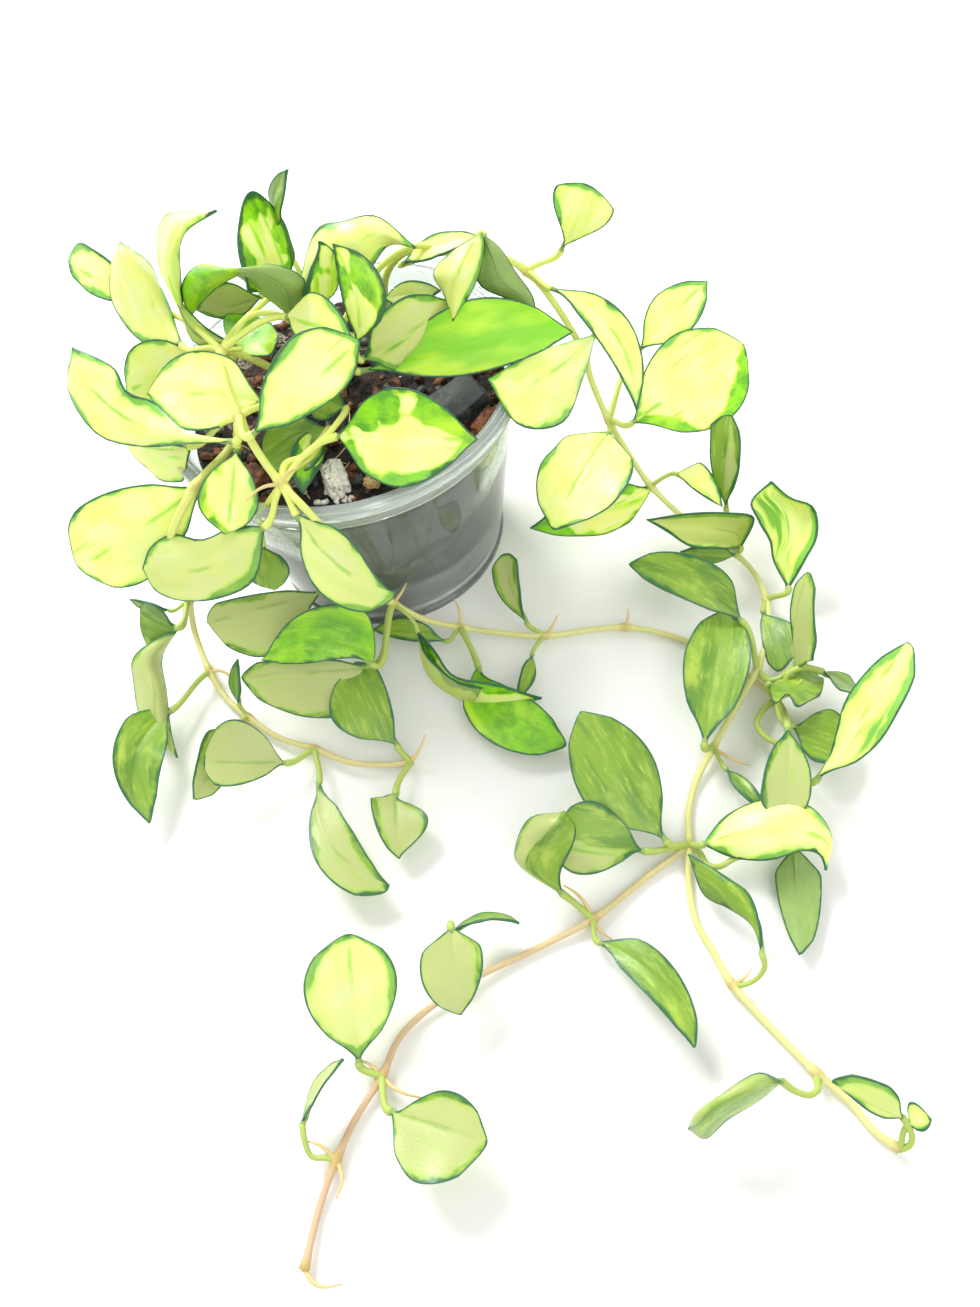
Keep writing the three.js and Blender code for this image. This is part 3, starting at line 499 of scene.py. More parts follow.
def leaf_lines(leaf):
    """A leaf's midrib and its axes along it. At roll 0 its upper face looks up as far as it can.
    Hook bends the last part of the blade towards its underside, in degrees."""
    if "rails" in leaf:
        return railed_lines(leaf)
    base = Vector(leaf["base"])
    along = Vector(leaf["tip"]) - base
    long = along.length
    along.normalize()
    level = along.cross(UP).normalized()
    lifted = level.cross(along)
    roll = math.radians(leaf["roll"])
    side = level * math.cos(roll) + lifted * math.sin(roll)
    face = side.cross(along)
    arch, lean, curl = leaf.get("arch", 0.08), leaf.get("lean", 0), leaf.get("curl", 0)
    twist = math.radians(leaf.get("twist", 0))
    hook = math.radians(leaf.get("hook", 0))
    hook_from = leaf.get("hook_from", HOOK_FROM)

    def straight(u):
        bow = 4 * u * (1 - u)
        late = (max(0, u - CURL_FROM) / (1 - CURL_FROM)) ** 2
        return base + along * long * u + face * (arch * bow + curl * late) * long + side * lean * bow * long

    def heading_at(u):
        return (straight(u + LOOK_AROUND) - straight(u - LOOK_AROUND)).normalized()

    def midrib(u):
        if not hook or u <= hook_from:
            return straight(u)
        start, ahead = straight(hook_from), heading_at(hook_from)
        across = (side - ahead * side.dot(ahead)).normalized()
        reach = (1 - hook_from) * long
        angle = hook * (u - hook_from) / (1 - hook_from)
        radius = reach / hook
        down = across.cross(ahead) * radius * (1 - math.cos(angle))
        return start + ahead * radius * math.sin(angle) - down

    def axes(u):
        heading = (midrib(u + LOOK_AROUND) - midrib(u - LOOK_AROUND)).normalized()
        across = (side - heading * side.dot(heading)).normalized()
        across.rotate(Matrix.Rotation(twist * (u - 0.5), 3, heading))
        return heading, across, across.cross(heading)

    return midrib, axes, long


def half_width(u, full, slim, blunt, point):
    """How much of its whole reach one side of a blade has at u."""
    neck = min(1, NECK_SHARE + (1 - NECK_SHARE) * min(1, u / NECK_LONG))
    end = 1 - POINT_NARROWS * max(0, (u - POINT_FROM) / (1 - POINT_FROM)) * point
    if u < full:
        return neck * math.sin(math.pi / 2 * u / full) ** slim
    return end * max(0, math.cos(math.pi / 2 * (u - full) / (1 - full))) ** blunt


def half_section(cup, rolled):
    """How far out and how high a blade lies at each rib, for a half width of 1, and its slope there.
    Cup is its even bend and rolled is how far its margin turns in, both in radians."""
    out, rise, v = 0.0, 0.0, 0.0
    points = []

    def slope_at(v):
        late = max(0, v - ROLL_FROM) / (1 - ROLL_FROM)
        return cup * v + rolled * late * late

    for target in HALF_RIBS:
        while v < target - 1e-9:
            v += 1 / SECTION_STEPS
            out += math.cos(slope_at(v)) / SECTION_STEPS
            rise += math.sin(slope_at(v)) / SECTION_STEPS
        points.append((out, rise, slope_at(v)))
    return points


def plain_section(leaf, lines, u, phases):
    """Each rib's place, normal, way out from the midrib and way to the margin, from left to right."""
    side, face = lines[1](u)[1:]
    centre = lines[0](u)
    waves = pair(leaf.get("wave", 0.05))
    folded = FOLD_AT_ENDS - FOLD_LOST * math.sin(math.pi * min(1, 1.25 * u))
    turned = math.sin(math.pi * u) ** 0.6
    reaches, sections = [], []
    for s in (0, 1):
        full, slim = pair(leaf.get("full", 0.5))[s], pair(leaf.get("slim", 0.85))[s]
        blunt, point = pair(leaf.get("blunt", 0.8))[s], leaf.get("point", 1)
        reaches.append(pair(leaf["reach"])[s] * half_width(u, full, slim, blunt, point))
        cup = math.radians(pair(leaf.get("cup", 14))[s]) * folded
        sections.append(half_section(cup, math.radians(pair(leaf.get("rolled", 0))[s]) * turned))
    section = []
    for v in RIBS:
        s, sign = (0, -1) if v < 0 else (1, 1)
        half = reaches[s]
        out, rise, slope = sections[s][HALF_RIBS.index(abs(v))]
        ripple = waves[s] * v * v * math.sin(4 * math.pi * u + (2 if v < 0 else 0))
        ripple += RIPPLE_SHARE * waves[s] * abs(v) ** 3 * math.sin(RIPPLES * u + phases[s])
        groove = GROOVE_DEEP * math.exp(-((half * v / GROOVE_WIDE) ** 2)) * (1 - u)
        groove *= min(1, max(reaches) / GROOVE_FULL_FROM)
        place = centre + side * sign * out * half + face * ((rise + ripple) * half - groove)
        normal = face * math.cos(slope) - side * sign * math.sin(slope)
        section.append((place, normal, half * v, half * (1 - abs(v))))
    return section


def railed_section(leaf, u, phases):
    """The same for a railed leaf: each section is a smooth bend through its three rails."""
    rails = leaf["rails"]
    wave = leaf.get("wave", 0.03)

    def surface(along, v):
        left, middle, right = (rail_point(rail, along) for rail in rails)
        return middle + (right - left) * (v / 2) + ((right + left) / 2 - middle) * v * v

    left, middle, right = (rail_point(rail, u) for rail in rails)
    section = []
    for v in RIBS:
        half = (left - middle).length if v < 0 else (right - middle).length
        outwards = (right - left) / 2 + ((right + left) / 2 - middle) * 2 * v
        normal = outwards.cross(surface(u + 0.01, v) - surface(u - 0.01, v)).normalized()
        ripple = wave * v * v * math.sin(9 * u + phases[0 if v < 0 else 1]) * half
        place = surface(u, v) + normal * ripple
        section.append((place, normal, half * v, half * (1 - abs(v))))
    return section


def add_leaf(leaf, number, places, faces, face_looks, blades, margins, looks):
    """One closed blade: rings of points round the section, from base to tip."""
    lines = leaf_lines(leaf)
    midrib, long = lines[0], lines[2]
    draw = random.Random(number)
    phases = [draw.uniform(0, 6.28), draw.uniform(0, 6.28)]
    first = len(places)
    side_looks = []
    for name, share in zip(pair(leaf["look"]), pair(leaf.get("rim", 1))):
        streaks, rim, deep, shade = LEAF_LOOKS[name]
        side_looks.append((streaks, rim * share, deep, shade))

    def put(place, along, across, margin):
        places.append(place)
        blades.append((along, across, PATTERN_APART * number))
        margins.append(margin)
        right = min(1, max(0, 0.5 + across / SIDE_BLEND))
        looks.append(tuple(a + (b - a) * right for a, b in zip(*side_looks)))

    for i in range(LEAF_STATIONS + 1):
        u = min(LAST_STATION_AT, 0.5 - 0.5 * math.cos(math.pi * (i + 0.35) / (LEAF_STATIONS + 0.5)))
        if "rails" in leaf:
            section = railed_section(leaf, u, phases)
        else:
            section = plain_section(leaf, lines, u, phases)
        ring = []
        for v, (place, normal, across, margin) in zip(RIBS, section):
            thick = LEAF_EDGE_THICK + (LEAF_THICK - LEAF_EDGE_THICK) * (1 - v * v)
            ring.append((place, normal * thick / 2, across, min(margin, long * (1 - u))))
        for place, half_thick, across, margin in ring:
            put(place + half_thick, long * u, across, margin)
        for place, half_thick, across, margin in reversed(ring):
            put(place - half_thick, long * u, across, margin)
    upper = len(RIBS)
    count = 2 * upper
    put(midrib(0), 0, 0, 0)
    put(midrib(1), long, 0, 0)
    skin_rings(faces, first, count, LEAF_STATIONS + 1, len(places) - 2, len(places) - 1)
    round_looks = [0 if k < upper or k == count - 1 else 1 for k in range(count)]
    face_looks += round_looks * LEAF_STATIONS
    face_looks += [look for look in round_looks for _ in (0, 1)]


def petiole_points(leaf, knot):
    """Out of the knot, then in line with the midrib, and on under the blade as its raised rib."""
    midrib, axes = leaf_lines(leaf)[:2]
    start, end = Vector(knot), midrib(0)
    stout = PETIOLE_RADIUS * min(1, PETIOLE_LEAST + PETIOLE_GAIN * leaf_wide(leaf))
    if "via" in leaf:
        points = smooth_route([knot] + leaf["via"] + [end])[0]
    else:
        reach = (end - start).length
        out = ((end - start).normalized() + UP * PETIOLE_RISE).normalized()
        early = start + out * PETIOLE_SETS_OUT * reach
        late = end - axes(0.03)[0] * PETIOLE_ARRIVES * reach
        points = []
        for i in range(PETIOLE_STEPS + 1):
            t = i / PETIOLE_STEPS
            s = 1 - t
            points.append(start * s**3 + early * 3 * s * s * t + late * 3 * s * t * t + end * t**3)
    last = len(points) - 1
    waists = [PETIOLE_WAIST * math.sin(math.pi * i / last) for i in range(last + 1)]
    radii = [stout * (PETIOLE_ENDS - waist) for waist in waists]
    for i in range(1, RIB_STEPS + 1):
        u = RIB_ENDS_AT * (i / RIB_STEPS) ** 1.5
        radius = stout * (1 - i / RIB_STEPS) ** 1.6 * RIB_SHARE + RIB_END_RADIUS
        sunk = min(1, u / 0.08) * (LEAF_THICK / 2 + 0.4 * radius)
        points.append(midrib(u) - axes(u)[2] * sunk)
        radii.append(radius)
    return points, radii


# Stems
def smooth_route(points):
    """Points close together along a smooth curve through the given ones, with each one's distance."""
    points = [Vector(p) for p in points]
    before = points[0] * 2 - points[1]
    after = points[-1] * 2 - points[-2]
    line = [before] + points + [after]
    route, marks = [points[0]], [0.0]
    walked = 0.0
    for i in range(1, len(line) - 2):
        p0, p1, p2, p3 = line[i - 1 : i + 3]
        d0, d1, d2 = (max(1e-4, (b - a).length) ** 0.5 for a, b in ((p0, p1), (p1, p2), (p2, p3)))
        t1 = ((p1 - p0) / d0 - (p2 - p0) / (d0 + d1) + (p2 - p1) / d1) * d1
        t2 = ((p2 - p1) / d1 - (p3 - p1) / (d1 + d2) + (p3 - p2) / d2) * d1
        steps = max(2, round((p2 - p1).length / STEM_STEP))
        for k in range(1, steps + 1):
            t = k / steps
            place = (
                p1 * (2 * t**3 - 3 * t * t + 1)
                + t1 * (t**3 - 2 * t * t + t)
                + p2 * (3 * t * t - 2 * t**3)
                + t2 * (t**3 - t * t)
            )
            walked += (place - route[-1]).length
            route.append(place)
        marks.append(walked)
    return route, marks


def add_tube(centres, radii, states, sides, places, faces, stem_states):
    """A closed tube round the centres. It ends in a low dome."""
    first = len(places)
    heading = (centres[1] - centres[0]).normalized()
    across = Vector((heading.y, heading.z, heading.x))
    count = len(centres)
    for i, (centre, radius) in enumerate(zip(centres, radii)):
        heading = (centres[min(i + 1, count - 1)] - centres[max(i - 1, 0)]).normalized()
        across = (across - heading * across.dot(heading)).normalized()
        upwards = heading.cross(across)
        for j in range(sides):
            angle = 2 * math.pi * j / sides
            places.append(centre + across * radius * math.cos(angle) + upwards * radius * math.sin(angle))
            stem_states.append(states[i])
    skin_rings(faces, first, sides, count, len(places), len(places) + 1)
    ahead = (centres[-1] - centres[-2]).normalized()
    behind = (centres[0] - centres[1]).normalized()
    places += [centres[0] + behind * radii[0] * 0.5, centres[-1] + ahead * radii[-1] * 0.5]
    stem_states += [states[0], states[-1]]


def stem_rings(run, knots, ages, stout):
    """Stout is the radius at the run's start. It thins on its way, and swells at each knot."""
    route, marks = smooth_route(run)
    swellings = [marks[i] for i, p in enumerate(run) if i and p in knots]
    whole = marks[-1]
    radii, states = [], []
    walked = 0.0
    for i, place in enumerate(route):
        if i:
            walked += (place - route[i - 1]).length
        nearest = min((abs(walked - mark) for mark in swellings), default=whole)
        swell = math.exp(-((nearest / KNOT_REACH) ** 2))
        ring = KNOT_RING_HIGH * math.exp(-(((nearest - KNOT_RING_AT) / KNOT_RING_WIDE) ** 2))
        radius = max(STEM_END_RADIUS, stout - STEM_THINNING * walked)
        radii.append(radius * (1 + (KNOT_SWELL - 1) * swell) + ring)
        age = ages[0] + (ages[1] - ages[0]) * walked / whole
        states.append((min(1, swell * 1.1), age, 0, 1))
    return route, radii, states


def aerial_root(start, end, bow):
    """A fine root that bows a little on its way, thick at its knot and thin at its end."""
    start, end = Vector(start), Vector(end)
    side = (end - start).cross(UP)
    side = side.normalized() if side.length > 1e-6 else Vector((1, 0, 0))
    reach = (end - start).length
    centres, radii = [], []
    for i in range(ROOT_STEPS + 1):
        t = i / ROOT_STEPS
        bent = math.sin(math.pi * t)
        centres.append(start.lerp(end, t) + (side * bent * bow * reach + UP * bent * ROOT_LIFT * reach))
        radii.append(ROOT_FLARE * (1 - t) ** 0.8 + ROOT_RADIUS)
    return centres, radii, [ROOT_STATE] * len(centres)


def leaf(at, base, tip, reach, roll, look, **more):
    """A leaf from its base and tip, and how far each side reaches out from its midrib."""
    return {"at": at, "base": base, "tip": tip, "reach": reach, "roll": roll, "look": look, **more}


def railed(at, base, sections, tip, look, **more):
    """A leaf from its base and tip, and where its left edge, midrib and right edge pass on the way."""
    rails = []
    for i in (0, 1, 2):
        rails.append([Vector(place) for place in (base, *(section[i] for section in sections), tip)])
    return {"at": at, "rails": rails, "look": look, **more}


def leaf_wide(leaf):
    if "rails" in leaf:
        return (rail_point(leaf["rails"][2], 0.5) - rail_point(leaf["rails"][0], 0.5)).length
    return sum(pair(leaf["reach"]))


def rooted(x, y):
    """Where a stem rises out of the mix."""
    return [(x, y, ROOTED_TO), (x, y, (ROOTED_TO + MIX_TOP) / 2), (x, y, MIX_TOP + 2)]


def passing(knots, *stops):
    """A stem's way past knots, by their names, and places between them."""
    return [knots[stop] if isinstance(stop, str) else stop for stop in stops]


# Front vine: up to the crown, down over the front of the rim and along the surface to the right
FRONT_KNOTS = {
    "crown": (-30, -10, 106), "bend": (-28, -34, 101), "rim": (-21, -50, 87), "wall": (-2, -53, 24),
    "near": (18, -58, 8), "mid": (46, -68, 5), "far": (74, -71, 3), "end": (113, -112, 3),
}
FRONT_RUNS = [
    rooted(-14, 6) + passing(FRONT_KNOTS, (-20, 0, 88), (-27, -7, 102), "crown", (-30, -23, 105), "bend",
        (-25, -43, 94), "rim", (-16, -58, 84), (-11, -62, 72), (-8, -59, 45), "wall", (7, -55, 13),
        "near", (31, -63, 6), "mid", (62, -69, 3.5), "far", (85, -76, 2), (94, -83, 1.8), (104, -95, 1.8),
        (110, -104, 2), "end", (114, -123, 3)),
]
FRONT_LEAVES = [
    railed("crown", (-43, 1, 103), [((-58, 15, 98), (-49, 14, 106), (-46, 18, 104)),
        ((-65, 28, 104), (-50, 18, 114), (-47, 24, 109)),
        ((-60, 33, 114), (-52, 20, 122), (-48, 29, 114))], (-53, 27, 124), "cream"),
    leaf("crown", (-53, 24, 104), (-78, 51, 108), (5, 9), 50, "cream", full=(0.6, 0.7), slim=0.8,
        blunt=(0.6, 0.45), wave=(0.12, 0.05)),
    railed("crown", (-25, -9, 105), [((-36, 5, 107), (-38, 2, 106), (-40, 3, 103)),
        ((-42, 12, 120), (-39, 7, 122), (-37, 12, 119)), ((-35, 15, 135), (-31, 5, 137), (-30, 6, 134))],
        (-18, 2, 141), "cream"),
    railed("crown", (-8, 3, 98), [((-5, 1, 107), (-8, 0, 108), (-11, 3, 106)),
        ((-1, -2, 117), (-7, -5, 119), (-17, 5, 114)), ((-9, -3, 125), (-14, -5, 126), (-19, 3, 120)),
        ((-24, 5, 118), (-26, 2, 123), (-29, 11, 121)), ((-33, 11, 110), (-35, 7, 115), (-37, 10, 117))],
        (-40, 10, 105), "grassy", via=[(-26, -7, 107), (-22, -1, 108), (-17, 2, 107), (-11, 2, 104)]),
    leaf("crown", (-9, -7, 110), (9, -22, 108), (9, 6), -30, "cream", full=(0.35, 0.5), slim=(0.5, 0.85)),
    leaf("crown", (-17, 17, 102), (-39, 21, 100), (4, 9), 85, "pale"),
    leaf("crown", (-37, -1, 100), (-68, 8, 86), 11, 60, "cream"),
    leaf("bend", (-24, -46, 104), (11, -28, 112), (12.5, 7), -50, "cream", full=(0.62, 0.65),
        slim=(1, 0.8), blunt=(0.6, 0.7), rolled=(0, -60)),
    leaf("bend", (-21, -28, 99), (-56, -11, 98), (11, 13), 30, "cream", full=(0.5, 0.45),
        slim=(0.8, 0.6), blunt=(1, 0.6)),
    railed("bend", (-31, -38, 96), [((-45, -33, 95), (-43, -33, 97), (-45, -30, 97)),
        ((-60, -24, 90), (-56, -23, 95), (-53, -17, 99)),
        ((-75, -14, 90), (-66, -14, 97), (-60, -14, 103)),
        ((-82, 1, 97), (-73, -4, 103), (-63, -6, 107))], (-75, 6, 108), "cream"),
    leaf("bend", (-32, -36, 92), (-42, -53, 75), (8, 9.5), 35, "cream", full=0.6, slim=1.1, rim=(1, 2.2)),
    leaf("bend", (-48, -24, 86), (-75, 2, 74), (12, 4), 80, "cream", full=(0.3, 0.5), slim=(0.5, 0.8)),
    leaf("rim", (-3, -37, 88), (37, -56, 92), 14, -45, "margined", blunt=0.95, rim=(1.9, 0.7),
        via=[(-19, -43, 88), (-14, -42, 88), (-8, -39, 89)]),
    railed("rim", (-30, -54, 76), [((-37, -64, 66), (-40, -58, 73), (-39, -51, 76)),
        ((-49, -65, 62), (-50, -59, 70), (-49, -53, 76)),
        ((-61, -61, 60), (-59, -57, 69), (-58, -48, 76)),
        ((-69, -56, 62), (-66, -54, 68), (-66, -48, 73))], (-70, -53, 70), "soft"),
    leaf("rim", (-19, -58, 82), (3, -77, 60), (8, 10), -20, "soft", lean=0.12, full=(0.4, 0.6),
        slim=(0.4, 1.3), blunt=(1.3, 0.4)),
    leaf("wall", (-15, -72, 18), (-58, -64, 18), (16, 5), 35, "pale", full=(0.25, 0.8), slim=(0.45, 0.4),
        blunt=(0.6, 0.5)),
    leaf("wall", (-13, -74, 22), (-48, -66, 28), (7, 15), 45, "grassy", lean=0.2, full=(0.6, 0.2),
        slim=(1.2, 0.35), blunt=(0.6, 1.3)),
    leaf("wall", (-24, -49, 34), (-66, -44, 26), (16, 6), 40, "pale", full=(0.55, 0.85), slim=(0.8, 0.6),
        blunt=(0.75, 0.4)),
    railed("wall", (4, -64, 20), [((9, -77, 24), (4, -76, 12), (6, -77, 22)),
        ((14, -88, 24), (11, -85, 8), (14, -89, 22)), ((27, -93, 20), (23, -91, 5), (26, -91, 17))],
        (39, -96, 12), "margined"),
    leaf("near", (21, -76, 8), (43, -112, 6), (9, 11), -15, "grassy", lean=0.13, full=(0.6, 0.4),
        slim=(1.1, 0.45), blunt=(0.5, 0.6)),
    leaf("near", (12, -61, 6), (-13, -50, 8), (2, 6), 30, "mottled"),
    leaf("mid", (40, -75, 6), (31, -92, 8), (3, 3), 45, "mottled"),
    leaf("mid", (41, -63, 8), (39, -45, 26), (6.5, 5), 40, "pale", full=(0.7, 0.9), slim=(1, 1.6),
        blunt=(0.4, 0.3)),
    leaf("end", (111, -110, 10), (123, -120, 14), (12, 15), 30, "mottled", full=0.6, blunt=0.5,
        wave=0.16),
    leaf("end", (113, -145, 10), (143, -124, 42), (5, 10), 5, "streaked", full=(0.6, 0.5),
        slim=(3, 0.85), blunt=(0.6, 0.35), via=[(106, -117, 6), (103, -121, 7), (104, -126, 7),
        (107, -130, 7), (109, -138, 7), (111, -145, 8)]),
    leaf("end", (112, -127, 12), (128, -138, 8), (9, 10), 0, "mottled", slim=(1, 0.6), blunt=0.6),
    leaf("end", (109, -129, 16), (97, -158, 14), (7, 8), 12, "pale", full=(0.65, 0.75), slim=0.8,
        blunt=0.6),
    leaf("crown", (-29, 0, 96), (-16, 8, 98), 13, 0, "grassy"),
    leaf("rim", (-7, -22, 78), (-18, -43, 74), 5, 30, "striped", lean=0.12, via=[(-19, -43, 84),
        (-12, -36, 82)]),
    leaf("rim", (-6, -24, 80), (-29, -30, 76), (10, 11), 20, "mottled", via=[(-18, -42, 85),
        (-10, -34, 84)]),
    leaf("rim", (-35, -48, 62), (-36, -55, 48), 7, 0, "mottled"),
    leaf("rim", (1, -24, 86), (-9, -10, 84), 7, 40, "mottled", via=[(-14, -42, 88), (-6, -37, 89),
        (0, -30, 89)]),
]
FRONT_ROOTS = [
    ("rim", (-32, -52, 86), 0.1),
    ("rim", (-15, -47, 89), -0.15),
    ("wall", (4, -49, 28), 0.1),
    ("near", (18, -48, 12), 0.1),
    ("mid", (52, -64, 10), 0.1),
    ("far", (76, -67, 8), 0.1),
    ("end", (120, -113, 14), 0.1),
]

# Left vine: over the left of the rim, down to the surface and along the front
LEFT_KNOTS = {
    "rim": (-47, -43, 87), "low": (-74, -29, 22), "first": (-74, -48, 4), "second": (-61, -71, 3.5),
    "third": (-39, -90, 4), "end": (-8, -103, 3),
}
LEFT_RUNS = [
    rooted(-38, -12) + passing(LEFT_KNOTS, (-40, -28, 82), "rim", (-57, -48, 78), (-68, -40, 52), "low",
        (-77, -33, 9), "first", (-69, -60, 2.4), "second", (-51, -82, 3.5), "third", (-28, -98, 4),
        (-15, -102, 3), "end"),
]
LEFT_LEAVES = [
    leaf("rim", (-45, -37, 82), (-93, -41, 64), (14, 15), 55, "cream", full=0.65, slim=0.9, blunt=0.55),
    leaf("low", (-80, -33, 24), (-94, -25, 26), 2, 60, "pale"),
    leaf("low", (-78, -41, 24), (-89, -32, 28), (14, 6), 60, "mottled", full=(0.3, 0.6), slim=(0.6, 1),
        blunt=(0.7, 0.4)),
    railed("low", (-77, -41, 24), [((-87, -44, 14), (-89, -49, 20), (-94, -45, 20)),
        ((-87, -57, 12), (-89, -60, 17), (-98, -52, 14)),
        ((-87, -71, 9), (-90, -71, 12), (-97, -66, 8))], (-85, -83, 8), "pale"),
    leaf("first", (-86, -65, 10), (-95, -105, 8), (9, 8.5), 25, "mottled", lean=0.2, full=(0.45, 0.2),
        slim=(0.6, 0.3), blunt=(0.5, 0.9)),
    leaf("second", (-63, -67, 7), (-59, -56, 18), 3, 25, "mottled"),
    leaf("second", (-66, -77, 8), (-80, -100, 8), (6, 8), 50, "pale", full=(0.6, 0.2), slim=(0.8, 0.4),
        blunt=(0.45, 0.7)),
    leaf("third", (-48, -95, 8), (-73, -92, 16), (8, 14), 25, "pale", full=(0.75, 0.65), slim=(0.9, 1),
        blunt=(0.35, 0.4)),
    leaf("third", (-38, -105, 8), (-20, -145, 8), (8, 7.5), 0, "pale", lean=0.18, full=(0.5, 0.75),
        slim=(0.5, 1.5), blunt=(0.9, 0.25)),
    leaf("end", (-11, -98, 7), (-19, -69, 18), (15, 6), 5, "mottled", full=(0.55, 0.75), slim=0.9,
        blunt=(0.7, 0.5)),
    leaf("end", (-14, -115, 7), (-16, -137, 7), (10, 8), 5, "pale", full=(0.52, 0.08), slim=(1.6, 0.3),
        blunt=(1.2, 0.6)),
]
LEFT_ROOTS = [
    ("end", (-1, -98, 10), 0.1),
    ("first", (-65, -59, 4), -0.2),
]

# Right vine: over the back right of the rim, down to the surface, and forked near its end
RIGHT_KNOTS = {
    "rim": (69, 31, 78), "over": (82, 7, 58), "fall": (87, -5, 36), "low": (97, -24, 18),
    "first": (119, -53, 6), "second": (123, -75, 5), "third": (110, -102, 7), "fourth": (88, -124, 4),
    "fork": (71, -153, 3), "left_first": (37, -168, 3), "left_second": (-5, -178, 3),
    "left_third": (-31, -197, 3), "left_fourth": (-46, -215, 3), "left_end": (-57, -238, 3),
    "low_first": (70, -195, 3), "low_second": (84, -222, 3), "low_end": (97, -243, 3),
}
RIGHT_RUNS = [
    rooted(19, 36) + passing(RIGHT_KNOTS, (22, 33, 88), (30, 28, 98), (41, 26, 99), (57, 27, 91), "rim",
        (75, 21, 72), "over", (83, 2, 50), "fall", (92, -15, 26), "low", (107, -39, 11), "first",
        (123, -63, 5), "second", (119, -87, 5.5), "third", (102, -110, 6), "fourth", (79, -134, 1.8),
        (74, -143, 1.8), "fork", (68, -162, 1.8), (66, -175, 1.8), (68, -185, 1.8), "low_first",
        (77, -209, 1.8), "low_second", (90, -231, 1.8), (93, -238, 1.8), "low_end"),
    passing(RIGHT_KNOTS, "fork", (54, -160, 1.8), "left_first", (20, -172, 1.8), "left_second",
        (-24, -187, 1.8), "left_third", (-40, -206, 1.8), "left_fourth", (-52, -225, 1.8), "left_end"),
]
